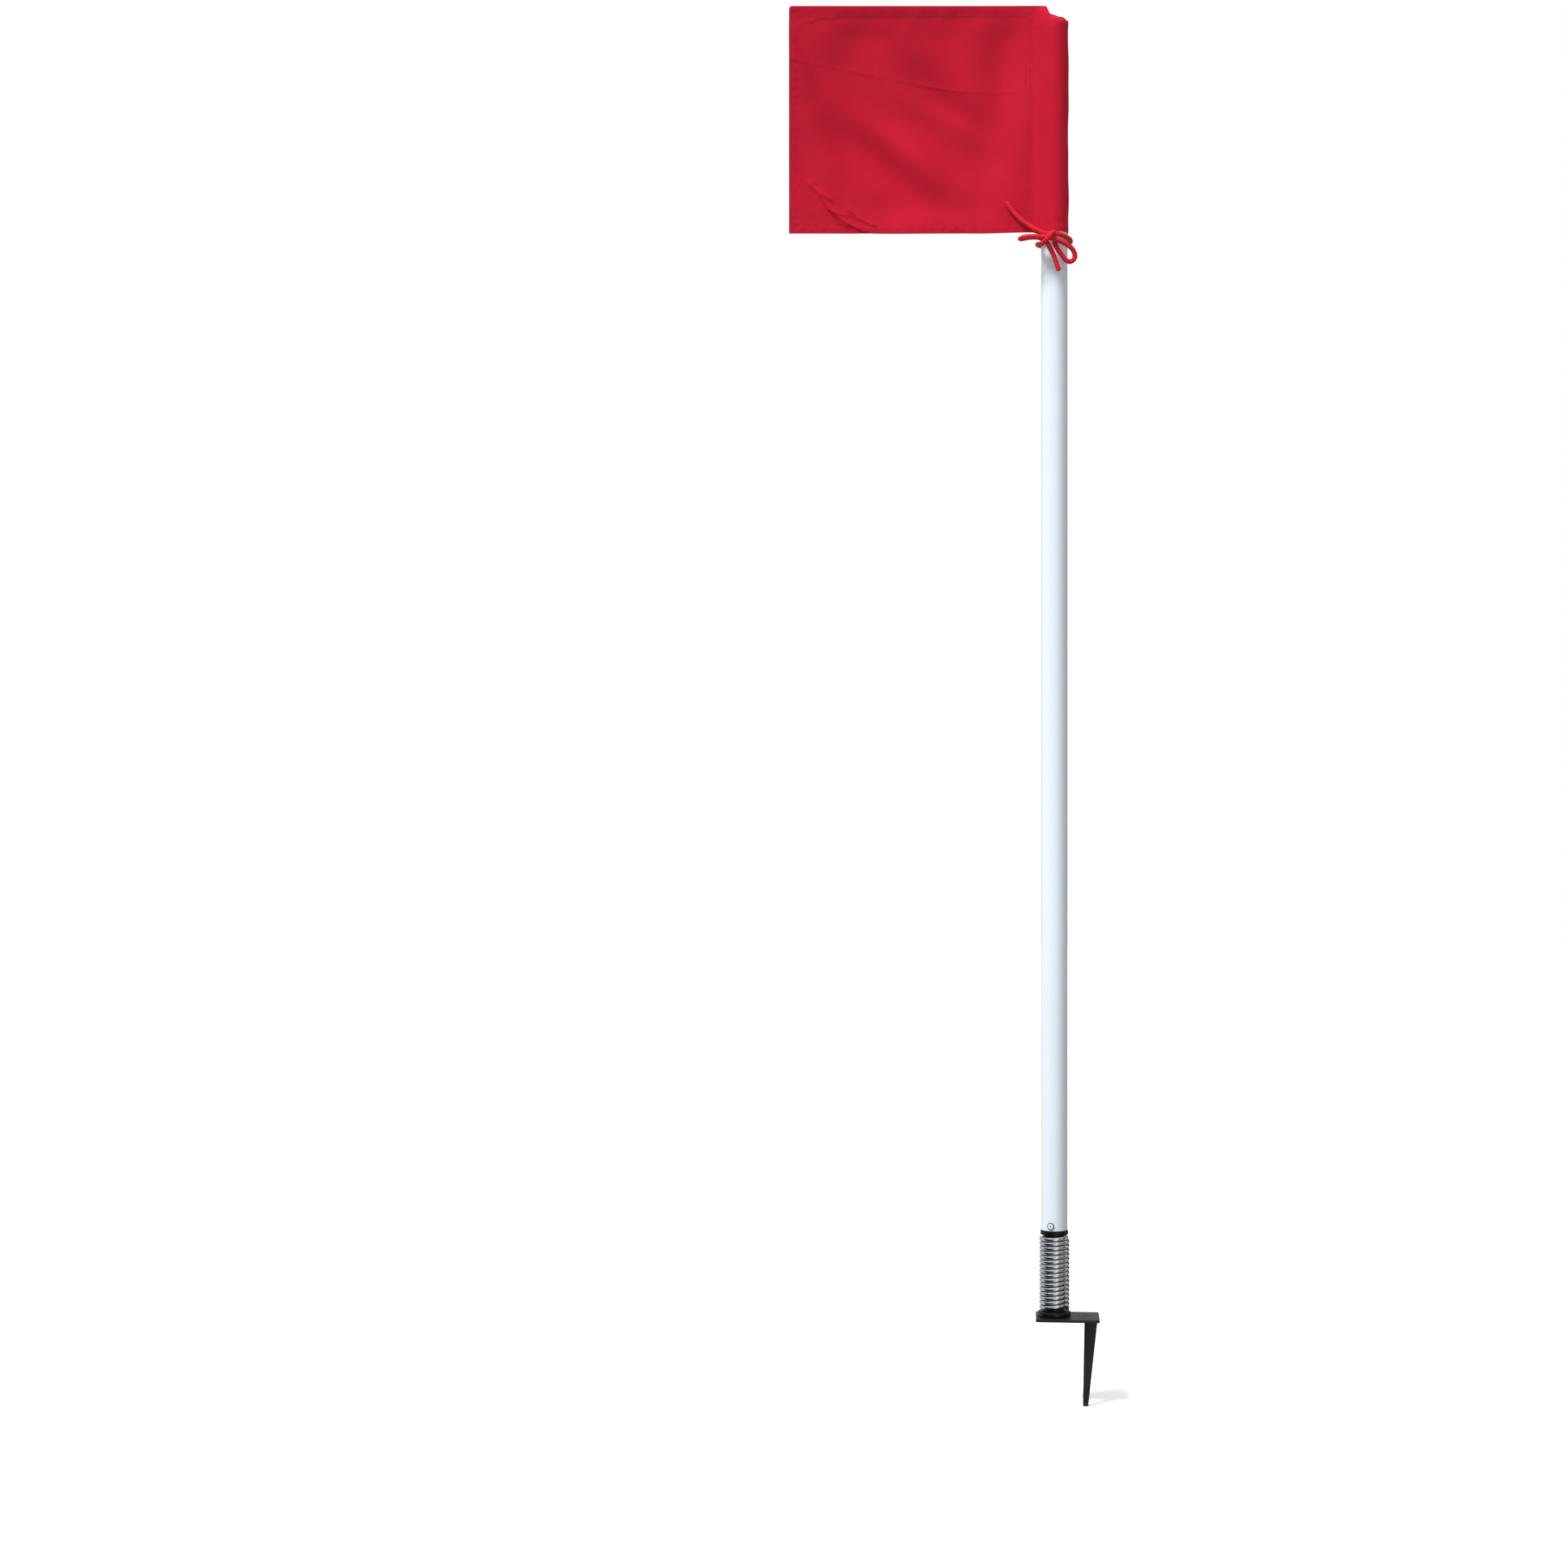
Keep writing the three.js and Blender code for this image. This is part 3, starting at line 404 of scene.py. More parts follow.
def puckers(u, v):
    """The waves that hang from the top hem, the strong ones longer, and those at the other seams."""
    top = 0
    for x, lean, wide, high in PUCKERS:
        start, end = (x + 4, FLAG_HEIGHT + 4), (x + lean, FLAG_HEIGHT - PUCKER_REACH - 4 * high)
        top = top + ridge_height(u, v, start, end, wide, 1.6 * wide, 0.4 * high)
    return (
        top + seam_waves(u - PANEL_WIDTH, v, *SEAM_WAVES) + seam_waves(u - FLY_HEM, v, *FLY_WAVES)
        + seam_waves(v - BOTTOM_HEM, u, *LOW_WAVES)
    )


# %% The panel's height
# The folds die out towards the seam, and near the bottom and the top a share of them is left.
FOLD_SCALE = 1.15
SEAM_HOLD, BOTTOM_HOLD, TOP_HOLD = 222, 34, 42
BOTTOM_SHARE, TOP_SHARE = 0.15, 0.08
# The top hem curls towards the viewer, and the seam stands out from the pole's middle.
CURL, CURL_BELOW_HEM, CURL_END = 1.9, 3, 230
SEAM_OUT, SEAM_RISE = 7.0, 215


def panel_height(u, v):
    """How far the panel stands towards the viewer: the held folds, the creases, the top hem's curl,
    the puckers and the rise to the seam."""
    held = FOLD_SCALE * (1 - smoothstep(u, SEAM_HOLD, PANEL_WIDTH))
    held = held * (BOTTOM_SHARE + (1 - BOTTOM_SHARE) * smoothstep(v, 0, BOTTOM_HOLD))
    held = held * (TOP_SHARE + (1 - TOP_SHARE) * smoothstep(FLAG_HEIGHT - v, 0, TOP_HOLD))
    broad = sum(ridge_height(u, v, *r) for r in RIDGES)
    slack = 0.35 * np.sin(u / 21 + v / 34) + 0.3 * np.sin(u / 33 - v / 18 + 2)
    small = sum(crease_height(u, v, *c) for c in CREASES)
    curl = CURL * smoothstep(v, FLAG_HEIGHT - TOP_HEM - CURL_BELOW_HEM, FLAG_HEIGHT)
    curl = curl * (1 - smoothstep(u, CURL_END, PANEL_WIDTH))
    to_seam = SEAM_OUT * smoothstep(u, SEAM_RISE, PANEL_WIDTH)
    return held * (broad + slack) + small + curl + puckers(u, v) + to_seam


# %% Grid of the panel
# The grid is fine where the small creases are, and has a row on each side of a hem's step.
FINE, COARSE, TOP_STEP = 1.2, 2.05, 1.5
HEM_STEP, TOP_HEM_STEP = 0.4, 0.5
CREASES_LEFT, CREASES_RIGHT, CREASES_TOP = 20, 100, 56
PRESSED_LOW, PRESSED_HIGH, PUCKERS_LOW = 156, 203, 230
across = np.unique(np.concatenate([
    stops([0, 1, FLY_HEM - HEM_STEP, FLY_HEM + HEM_STEP, CREASES_LEFT], COARSE),
    stops([CREASES_LEFT, CREASES_RIGHT], FINE), stops([CREASES_RIGHT, PANEL_WIDTH], COARSE),
]))
hem_line = FLAG_HEIGHT - TOP_HEM
top_marks = [hem_line - TOP_HEM_STEP, hem_line + TOP_HEM_STEP]
top_marks += [FLAG_HEIGHT - 2 * RIDGE, FLAG_HEIGHT - 1, FLAG_HEIGHT]
upwards = np.unique(np.concatenate([
    stops([0, 1, BOTTOM_HEM - HEM_STEP, BOTTOM_HEM + HEM_STEP, CREASES_TOP], FINE),
    stops([CREASES_TOP, PRESSED_LOW], COARSE), stops([PRESSED_LOW, PRESSED_HIGH], FINE),
    stops([PRESSED_HIGH, PUCKERS_LOW], COARSE), stops([PUCKERS_LOW, *top_marks], TOP_STEP),
]))
print("folds at", len(across), "by", len(upwards), "points")

# %% [markdown]
# The sleeve's outline from above is a round with two straight runs that meet at the seam. Near its
# top it is sewn flat: its depth shrinks like a quarter ellipse, to a thin ridge of two layers. The
# top edge follows the photograph: level with the panel, then a step down over the pole.

# %% Sleeve
SEAM_HALF = 0.55
# The top edge's step down by the seam, its slope over the pole and its outer corner: how far each
# goes down, and from where to where.
STEP, SLOPE, OUTER_CORNER = (9.2, -9.8, -4.2), (3.3, -4.2, 8), (4.8, 9, 16.3)
# Towards its top, cloth that stands nearer the viewer hangs lower by a share of that, so that the
# camera, which looks up at it, sees a straight top edge.
LOWER_SHARE, LOWER_FROM = 0.25, 120
# The free edge's upper corner is drawn in over a few mm.
CORNER_REACH, CORNER_SHARE = 3, 0.3
# Half the depth of the sewn ridge, the height and width of the cord's grip, and how far the cloth
# may go inwards.
RIDGE_HALF, GRIP_HEIGHT, GRIP_WIDTH, MOST_INWARDS = 0.34, 8, 7, 0.4
DIMPLE = [(-9, 6.5), (0, 8), (10, 10.5)]


def closed_top(x):
    """The sleeve's top edge: level with the panel, then a step down, a slope over the pole and a
    soft outer corner."""
    return FLAG_HEIGHT - sum(down * smoothstep(x, *reach) for down, *reach in (STEP, SLOPE, OUTER_CORNER))


def touching(x, y):
    """How far round from -X the line from a point to the sleeve's circle touches it."""
    return math.atan2(y, -x) + math.acos(SLEEVE_RADIUS / math.hypot(x, y))


def lowered(v, towards):
    """How much lower the cloth hangs where it stands so far towards the viewer."""
    return LOWER_SHARE * towards * smoothstep(v, LOWER_FROM, FLAG_HEIGHT)


first_touch = touching(SEAM_X, SEAM_OUT + SEAM_HALF) - math.pi
last_touch = math.pi - touching(SEAM_X, SEAM_HALF - SEAM_OUT)
turn = np.linspace(first_touch, last_touch, 50)
arc = SLEEVE_RADIUS * np.stack([np.cos(turn), np.sin(turn)], 1)
run_in = np.linspace([SEAM_X, -SEAM_OUT - SEAM_HALF], arc[0], 8)[1:-1]
run_out = np.linspace(arc[-1], [SEAM_X, SEAM_HALF - SEAM_OUT], 8)[1:]
tail = np.stack([SEAM_X - np.array([2.0, 4, 6, ALLOWANCE]), np.full(4, 2 * SEAM_HALF - SEAM_OUT)], 1)
outline = np.concatenate([run_in, arc, run_out, tail])

u, v = across[:, None], upwards[None, :]
bulge = panel_height(u, v)
panel = together(PANEL_LEFT + u, -bulge, v - lowered(v, bulge))
corner = np.clip(CORNER_REACH - np.hypot(u, FLAG_HEIGHT - v), 0, None) * CORNER_SHARE
panel[..., 0] += corner * (u < CORNER_REACH)
panel[..., 2] -= corner

x, y = outline[:, 0][:, None], outline[:, 1][:, None]
share = np.clip((v - SHOULDER) / (FLAG_HEIGHT - SHOULDER), 0, 1)
top = closed_top(x)
height = np.where(v < SHOULDER, v, SHOULDER + (top - SHOULDER) * share) + 0 * x
closing = np.clip((height - SHOULDER) / np.maximum(top - RIDGE - SHOULDER, 1), 0, 1)
centre = -SEAM_OUT * smoothstep(-x, 8, -SEAM_X)
height = height - lowered(v, -centre)
flat = np.sign(y - centre) * np.minimum(np.abs(y - centre), RIDGE_HALF)
depth = centre + flat + (y - centre - flat) * np.sqrt(1 - closing**2)
grip = np.exp(-(((v - GRIP_HEIGHT) / GRIP_WIDTH) ** 2))
gather = 0.5 * grip * np.sin(x * 0.7 + v * 0.45) * np.exp(-(((x - 2) / 9) ** 2)) * (y < 0)
dimple = crease_height(x, v, DIMPLE, 1.8, -1.0) * (y < 0)
sag = 0.35 * np.sin(v / 21 + 2 * np.arctan2(y, x)) + 0.2 * np.sin(v / 8.3 + x / 5)
outwards = np.maximum(sag * (v < SHOULDER) + dimple + gather, -MOST_INWARDS)
loose = (np.abs(x - SEAM_X) > 3) * (1 - closing)
sleeve = together(x, depth, height).copy()
sleeve[..., :2] += unit(np.stack([x, y], -1)) * (outwards * loose)[..., None]
middle = np.concatenate([panel, sleeve])
columns, rows = middle.shape[:2]
round_pole = np.diff(np.concatenate([[[SEAM_X, -SEAM_OUT]], outline]), axis=0)
distance = np.r_[across, PANEL_WIDTH + np.cumsum(np.linalg.norm(round_pole, axis=1))]
print("cloth", columns, "by", rows, "points,", round(float(distance[-1]), 1), "mm across")

# %% [markdown]
# Cloth has two sides. The middle surface is pushed half its thickness both ways along its normals,
# and a strip joins the rims. Hems are three layers thick, so the cloth steps out there.

# %% Two-sided cloth
# How much of a hem's extra thickness shows at the front.
HEM_FRONT = 0.1
facing = unit(np.cross(np.gradient(middle, axis=0), np.gradient(middle, axis=1)))
up_row, across_row = upwards[None, :], distance[:, None]
hem = np.maximum.reduce([
    1 - smoothstep(across_row, FLY_HEM - HEM_STEP, FLY_HEM + HEM_STEP) + 0 * up_row,
    1 - smoothstep(up_row, BOTTOM_HEM - HEM_STEP, BOTTOM_HEM + HEM_STEP) + 0 * across_row,
    smoothstep(up_row, hem_line - TOP_HEM_STEP, hem_line + TOP_HEM_STEP) * (across_row < PANEL_WIDTH + 3),
])
to_front = SINGLE / 2 + HEM_FRONT * hem
to_back = SINGLE / 2 + (HEMMED - SINGLE - HEM_FRONT) * hem
sides = [middle + facing * to_front[..., None], middle - facing * to_back[..., None]]
cloth_points = np.concatenate([side.reshape(-1, 3) for side in sides]) + [0, 0, FLAG_FLOOR]
sheet_faces = grid_faces(columns, rows).reshape(-1, 4)
count = columns * rows
edge = np.concatenate([
    np.arange(rows), np.arange(1, columns) * rows + rows - 1,
    (columns - 1) * rows + np.arange(rows - 2, -1, -1), np.arange(columns - 2, 0, -1) * rows,
])
rim = np.stack([edge, np.roll(edge, -1), np.roll(edge, -1) + count, edge + count], -1)
laid_flat = together(distance[:, None], upwards[None, :]).reshape(-1, 2)
cloth = make_piece(
    "flag_sheet", cloth_points, [sheet_faces, sheet_faces[:, ::-1] + count, rim[:, ::-1]],
    sharp_deg=50, values={"hem": np.tile(hem.ravel(), 2)}, uv=np.tile(laid_flat, (2, 1)),
)

# %% [markdown]
# ## Stitches
# A lock stitch shows as a row of short threads with a gap between them, each sunk at its ends. They
# could be a dashed texture, but at the outline of a hem they stand proud, so each is a small bent
# capsule laid on the cloth. All are one mesh, because they are all one thread.

# %% Stitching
STITCH = 2.6
STITCH_GAP = 0.45
THREAD = 0.14
# A stitch is bent up by so many of its radii, and its ends are sunk by so many.
BENT, SUNK = 1.3, 0.7


def on_cloth(across_mm, up_mm, side):
    """Points and normals of the cloth's surface at given places, by a weighted mean of the four
    nearest grid points."""
    i = np.interp(across_mm, distance, np.arange(columns))
    j = np.interp(up_mm, upwards, np.arange(rows))
    i0, j0 = np.minimum(i.astype(int), columns - 2), np.minimum(j.astype(int), rows - 2)
    a, b = (i - i0)[..., None], (j - j0)[..., None]

    def blended(table):
        low = table[i0, j0] * (1 - b) + table[i0, j0 + 1] * b
        high = table[i0 + 1, j0] * (1 - b) + table[i0 + 1, j0 + 1] * b
        return low * (1 - a) + high * a

    return blended(sides[side]), unit(blended(facing)) * (1 - 2 * side)


def stitch_row(start, end):
    """Start and end places of the stitches along a straight row."""
    start, end = np.asarray(start, float), np.asarray(end, float)
    long = np.linalg.norm(end - start)
    first = np.arange(0, long - STITCH, STITCH + STITCH_GAP)
    way = (end - start) / long
    return start + first[:, None] * way, start + (first + STITCH)[:, None] * way


around_end = float(distance[-1])
TOP_ROW, LOW_ROW = hem_line + 1.6, BOTTOM_HEM - 1.3
FLY_ROW, SEAM_ROW = FLY_HEM - 1.2, PANEL_WIDTH - 1.2
SEWN = [
    ((3, TOP_ROW), (PANEL_WIDTH - 2, TOP_ROW)),
    ((FLY_ROW, 2), (FLY_ROW, FLAG_HEIGHT - 2)),
    ((2, LOW_ROW), (around_end - ALLOWANCE, LOW_ROW)),
    ((SEAM_ROW, 2), (SEAM_ROW, FLAG_HEIGHT - 2)),
]
ends = [stitch_row(a, b) for a, b in SEWN]
begins, finishes = (np.concatenate([e[k] for e in ends]) for k in (0, 1))
lay = np.linspace(0, 1, 6)[None, :]
threads = []
for side in (0, 1):
    place = begins[:, None] + (finishes - begins)[:, None] * lay[..., None]
    at, out = on_cloth(place[..., 0], place[..., 1], side)
    rise = THREAD * (np.sqrt(1 - (2 * lay - 1) ** 2) * BENT - SUNK)
    core = at + out * rise[..., None]
    way = unit(np.gradient(core, axis=1))
    flank = np.cross(way, out)
    spin = full_turn(6)
    ring = flank[:, :, None] * np.cos(spin)[:, None] + out[:, :, None] * np.sin(spin)[:, None]
    threads.append(core[:, :, None] + THREAD * ring)
threads = np.concatenate(threads)
number, stations_each, spin_count = threads.shape[:3]
wall = grid_faces(stations_each, spin_count, ring_columns=True).reshape(-1, 4)
start_cap = np.arange(spin_count)[::-1]
end_cap = (stations_each - 1) * spin_count + np.arange(spin_count)
offset = (np.arange(number) * stations_each * spin_count)[:, None, None]
walls = (wall[None] + offset).reshape(-1, 4)
caps = (np.stack([start_cap, end_cap])[None] + offset).reshape(-1, 6)
stitching = make_piece("stitching", threads.reshape(-1, 3) + [0, 0, FLAG_FLOOR], [walls, caps])
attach(stitching, "flag")

# %% Cloth onto the flag's body
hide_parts("flag_panel", "flag_sleeve")
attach(cloth, "flag")

# %% [markdown]
# ## The spring
# The spring is one drawn wire wound on both hubs, its turns all but touching. The frame has two
# hinges in it, and the spring is two meshes, one for each half, that meet in the middle. Its ends
# are sawn off square, as on the real one.

# %% Spring
SPRING_FLOOR = 9.6
SPRING_RADIUS, WIRE_RADIUS = 17.35, 2.43
COIL_RADIUS = SPRING_RADIUS - WIRE_RADIUS
TURNS, PITCH, END_DEG = 16, 5.1, -23
# How much lower the lowest turn is seated, and the shares of a turn where it is down and where it
# starts to rise.
SEAT_DROP, SEATED, RISES = 1.5, 0.6, 0.62
# The soft edge of a sawn end: its length, and the share of the wire's radius that it takes off.
END_EDGE, END_THINNER = 0.5, 0.14
TURN_STEPS, WIRE_SIDES = 56, 20


def coil(turn_from, turn_to):
    """The wire between two turns: centre (R cos t, R sin t, floor + pitch t / 2 pi); each ring lies
    in the plane of the axis. The lowest turns sit flatter and step up over the wire's end. The
    crevice_shade_and_sawn_ends values say how deep a point is between two turns, for painted shade there, and
    darken the middle of each sawn end."""
    count = int((turn_to - turn_from) * TURN_STEPS) + 1
    turns = np.linspace(turn_from, turn_to, count)[:, None]
    t = math.radians(END_DEG) + 2 * math.pi * turns
    a = full_turn(WIRE_SIDES)[None, :]
    sawn = np.clip(np.minimum(turns, TURNS - turns) * 2 * math.pi * COIL_RADIUS / END_EDGE, 0, 1)
    wire = WIRE_RADIUS * (1 - END_THINNER + END_THINNER * np.sqrt(1 - (1 - sawn) ** 2))
    radius = COIL_RADIUS + wire * np.cos(a)
    part = turns % 1
    seated = SEAT_DROP * (1 - turns / TURNS) * smoothstep(part, 0, SEATED) * (1 - smoothstep(part, RISES, 1))
    z = SPRING_FLOOR + WIRE_RADIUS + PITCH * turns - seated + wire * np.sin(a)
    rings = np.stack([radius * np.cos(t), radius * np.sin(t), z + 0 * radius], -1)
    points, faces = closed_tube(rings)
    along = 2 * math.pi * COIL_RADIUS * turns + 0 * a
    laid = together(along, np.abs(a - math.pi) * WIRE_RADIUS).reshape(-1, 2)
    # Painted shade: points deep between two turns get a darker colour in the finish.
    crevice_shade_and_sawn_ends = (np.abs(np.sin(a)) ** 14 + 0 * turns).ravel()
    return points, faces, np.concatenate([laid, laid[:1], laid[-1:]]), np.r_[crevice_shade_and_sawn_ends, 0.8, 0.8]


coils = []
for name, turn_from in (("spring_lower", 0), ("spring_upper", TURNS // 2)):
    points, faces, laid, crevice_shade_and_sawn_ends = coil(turn_from, turn_from + TURNS // 2)
    half_spring = make_piece(name, points, faces, sharp_deg=50, uv=laid, values={"crevice_shade_and_sawn_ends": crevice_shade_and_sawn_ends})
    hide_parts("spring")
    coils.append(half_spring)

# %% [markdown]
# ## Turned pieces
# The pole, both plugs, the rivet and its pin are round. A profile is drawn in radius and height,
# its corners are swapped for small arcs, because no moulded or cut edge is perfectly sharp and the
# arcs catch the light, and the profile is spun round its axis.

# %% Spinning a profile
def rounded(corners, radii, steps=5):
    """A profile with each corner swapped for an arc that touches both of its sides."""
    corners = np.asarray(corners, float)
    out = [corners[0]]
    for k in range(1, len(corners) - 1):
        here = corners[k]
        back, on = unit(corners[k - 1] - here), unit(corners[k + 1] - here)
        if radii[k] == 0:
            out.append(here)
            continue
        half_angle = math.acos(np.clip(back @ on, -1, 1)) / 2
        centre = here + unit(back + on) * radii[k] / math.sin(half_angle)
        a, b = (here + way * radii[k] / math.tan(half_angle) - centre for way in (back, on))
        sweep = math.pi - 2 * half_angle
        t = np.linspace(0, 1, steps + 1)[:, None]
        out.extend(centre + (np.sin((1 - t) * sweep) * a + np.sin(t * sweep) * b) / math.sin(sweep))
    out.append(corners[-1])
    return np.array(out)


def spun(profile, sides=96):
    """Points (r cos a, r sin a, z) for each profile point. An end on the axis is closed by a fan,
    and a profile whose ends both stand off the axis is closed on itself."""
    r, z = np.asarray(profile, float).T
    on_axis = r < 1e-6
    a = full_turn(sides)[None, :]
    ring_r, ring_z = r[~on_axis][:, None], z[~on_axis][:, None]
    rings = together(ring_r * np.cos(a), ring_r * np.sin(a), ring_z)
    count = len(ring_r)
    faces = [grid_faces(count, sides, ring_rows=not on_axis.any(), ring_columns=True).reshape(-1, 4)]
    points = rings.reshape(-1, 3)
    if on_axis[0]:
        faces.append(fan_faces(np.arange(sides)[::-1], len(points)))
        points = np.concatenate([points, [[0, 0, z[0]]]])
    if on_axis[-1]:
        faces.append(fan_faces((count - 1) * sides + np.arange(sides), len(points)))
        points = np.concatenate([points, [[0, 0, z[-1]]]])
    return points, faces


def dress(shape, node_name, body):
    """Hides the CAD node that the piece stands for, and puts the piece on the body it rides on."""
    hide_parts(node_name)
    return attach(shape, body)


def turned(name, profile, node_name, body):
    """A spun piece, dressed."""
    points, faces = spun(profile)
    return dress(make_piece(name, points, faces, sharp_deg=40), node_name, body)


# %% Pole
POLE_FLOOR, POLE_TOP = 101.6, 1475.0
POLE_RADIUS, POLE_BORE, POLE_EDGE = 15.0, 13.5, 0.35


def pole_end(z_end, z_inside):
    """The outside, the cut edge and the bore of one end."""
    corners = [(POLE_RADIUS, z_inside), (POLE_RADIUS, z_end), (POLE_BORE, z_end), (POLE_BORE, z_inside)]
    return rounded(corners, [0, POLE_EDGE, POLE_EDGE, 0])


wall = np.stack([np.full(9, POLE_RADIUS), np.linspace(600, 1400, 9)], 1)
pole_profile = np.concatenate([pole_end(POLE_FLOOR, 500)[::-1], wall, pole_end(POLE_TOP, 1450)])
pole = turned("pole_wall", pole_profile, "pole_tube", "pole")

# %% Upper plug
HUB, COLLAR, STEM, STEM_BORE = 11.85, 16, 13.2, 9.6
HUB_FOOT, COLLAR_FOOT, COLLAR_TOP, BORE_FOOT, STEM_TOP = 74.1, 96.1, 101.3, 103.3, 143.3
upper = rounded(
    [(0, HUB_FOOT), (9, HUB_FOOT), (HUB, 77), (HUB, COLLAR_FOOT), (COLLAR, COLLAR_FOOT),
     (COLLAR, COLLAR_TOP), (STEM, COLLAR_TOP), (STEM, STEM_TOP), (STEM_BORE, STEM_TOP),
     (STEM_BORE, BORE_FOOT), (0, BORE_FOOT)],
    [0, 0.5, 0.5, 0, 1.1, 1.1, 0, 0.4, 0.4, 0.3, 0],
)
upper_plug = turned("collar_plug", upper, "upper_plug", "pole")

# %% Lower plug
DISC, SCREW_HOLE = 18.8, 3.3
DISC_FOOT, DISC_TOP, HUB_TOP = 3.5, 9.3, 31.3
lower = rounded(
    [(SCREW_HOLE, DISC_FOOT), (DISC, DISC_FOOT), (DISC, DISC_TOP), (HUB, DISC_TOP), (HUB, 28.3),
     (9, HUB_TOP), (SCREW_HOLE, HUB_TOP), (SCREW_HOLE, DISC_FOOT)],
    [0, 0.6, 2.0, 0.25, 0.5, 0.5, 0.3, 0],
)
lower_plug = turned("disc_plug", lower[:-1], "lower_plug", "foot")

# %% [markdown]
# ## Rivet
# A blind rivet has a low dome and a short stub of its pin in a small hole. It is spun about its own
# axis, then the points are turned to point outwards from the pole, so the object itself stays
# unturned.

# %% Rivet and pin
RIVET_HEIGHT = 107.3
RIVET_DEG = -111


def facing_outwards(points):
    """Turns points made along +Z so that they point away from the pole where the rivet stands."""
    a = math.radians(RIVET_DEG)
    axis = np.array([math.cos(a), math.sin(a), 0])
    side = np.array([-math.sin(a), math.cos(a), 0])
    x, y, z = np.asarray(points).T
    return z[:, None] * axis + x[:, None] * side + y[:, None] * [0, 0, 1] + [0, 0, RIVET_HEIGHT]


# Along the rivet, places are counted from the pole's axis.
PIN_HOLE, DOME_WIDTH, DOME_FOOT = 1.15, 2.95, 15.75
bend = np.linspace(0, math.pi / 2, 10)
dome = np.stack([PIN_HOLE + DOME_WIDTH * np.cos(bend), DOME_FOOT + np.sin(bend)], 1)
shank = [(PIN_HOLE, 5.9), (2.9, 5.9), (2.9, 7.6), (2, 7.9), (2, 14.95), (3.9, 15.12), (4.1, 15.3)]
body_profile = np.concatenate([shank, dome, [(0.98, 16.55)]])
points, faces = spun(body_profile, 48)
reach_out = points[:, 2]
across_rivet = np.hypot(points[:, 0], points[:, 1])
rivet = make_piece(
    "rivet_dome", facing_outwards(points), faces, sharp_deg=40,
    # rim marks where the dark ring of painted shade goes round the dome's edge
    values={"rim": smoothstep(across_rivet, 2.75, 3.3) * (reach_out > 14)},
)
dress(rivet, "rivet_body", "pole")
pin_profile = rounded(
    [(0, 4.0), (1.9, 4.0), (1.9, 5.6), (0.85, 5.6), (0.85, 16.0), (0, 16.15)], [0, 0.3, 0.3, 0, 0.2, 0]
)
points, faces = spun(pin_profile, 32)
pin = make_piece("rivet_pin", facing_outwards(points), faces, sharp_deg=40)
dress(pin, "rivet_mandrel", "pole")

# %% [markdown]
# ## Foot
# The plate is sheared from flat steel, so it has tight rounded corners and soft edges under its
# black coat. Its outline and its countersunk hole have the same number of points, so one skin of
# rings can run from the hole out along the underside, up the edge and back in along the top.

# %% Plate
FOOT_YAW = math.radians(-5)
PLATE = dict(left=-21.1, right=51.2, front=-26.5, back=26.5, thick=3.2, corner=3.0)
AROUND = 144


def turned_foot(points):
    """Turns points about the pole's axis by the foot's small angle."""
    x, y, z = np.asarray(points, float).reshape(-1, 3).T
    c, s = math.cos(FOOT_YAW), math.sin(FOOT_YAW)
    return np.stack([c * x - s * y, s * x + c * y, z], 1)


def plate_ring(inset, z):
    """A rectangle with rounded corners, met by rays from the pole's axis at even angles."""
    r = PLATE["corner"] - inset
    a = full_turn(2 * AROUND)
    lo = np.array([PLATE["left"], PLATE["front"]]) + PLATE["corner"]
    hi = np.array([PLATE["right"], PLATE["back"]]) - PLATE["corner"]
    way = np.stack([np.cos(a), np.sin(a)], 1)
    near, far = np.zeros(len(a)), np.full(len(a), 90.0)
    for _ in range(40):
        mid = (near + far) / 2
        p = way * mid[:, None]
        inside = np.linalg.norm(p - np.clip(p, lo, hi), axis=1) < r
        near, far = np.where(inside, mid, near), np.where(inside, far, mid)
    return np.concatenate([way * near[:, None], np.full((len(a), 1), z)], 1)


def round_ring(radius, z, count=2 * AROUND):
    """A circle about the pole's axis."""
    a = full_turn(count)
    return np.stack([radius * np.cos(a), radius * np.sin(a), np.full(count, z)], 1)


# The edge's arc and the hole's small bevel, and the radii of the hole, its countersink and a ring
# halfway to the edge.
BEVEL, EASED = 0.55, 0.15
HOLE, SINK, MIDWAY = 3.3, 6.25, 12
thick = PLATE["thick"]
quarter = np.linspace(0, math.pi / 2, 5)
soft = [(BEVEL * (1 - math.sin(t)), BEVEL * (1 - math.cos(t))) for t in quarter]
rings = [round_ring(SINK - EASED, 2 * EASED), round_ring(SINK, 0.0), round_ring(MIDWAY, 0.0)]
rings += [plate_ring(4, 0.0), plate_ring(1.4, 0.0)]
rings += [plate_ring(inset, z) for inset, z in soft]
rings += [plate_ring(z, thick - inset) for inset, z in soft]
rings += [plate_ring(1.4, thick), plate_ring(4, thick), round_ring(MIDWAY, thick)]
rings += [round_ring(HOLE + EASED, thick), round_ring(HOLE, thick - EASED), round_ring(HOLE, thick - 0.2)]
wear = np.array([0.3, 0.6, 0, 0, 0.1] + [1] * 10 + [0.1, 0, 0, 0, 0.2, 0])
stack = np.array(rings)
plate = make_piece(
    "foot_slab", turned_foot(stack), [grid_faces(len(stack), 2 * AROUND, True, True)], sharp_deg=40,
    values={"edge": np.repeat(wear, 2 * AROUND)},
)
dress(plate, "foot_plate", "foot")

# %% [markdown]
# The spike is a flat bar cut to a taper. Rings of a rectangle with soft corners run down it, and
# the last few shrink to round off the blunt tip.

# %% Spike
SPIKE_LEFT, SPIKE_RIGHT = 34.3, 49.4
# How far the left edge moves over on its way down, and how wide the tip is.
SPIKE_SHIFT, SPIKE_TIP = 1.7, 6.0
SPIKE_LENGTH, SPIKE_HALF, BAR_CORNER = 99.4, 2.5, 0.6


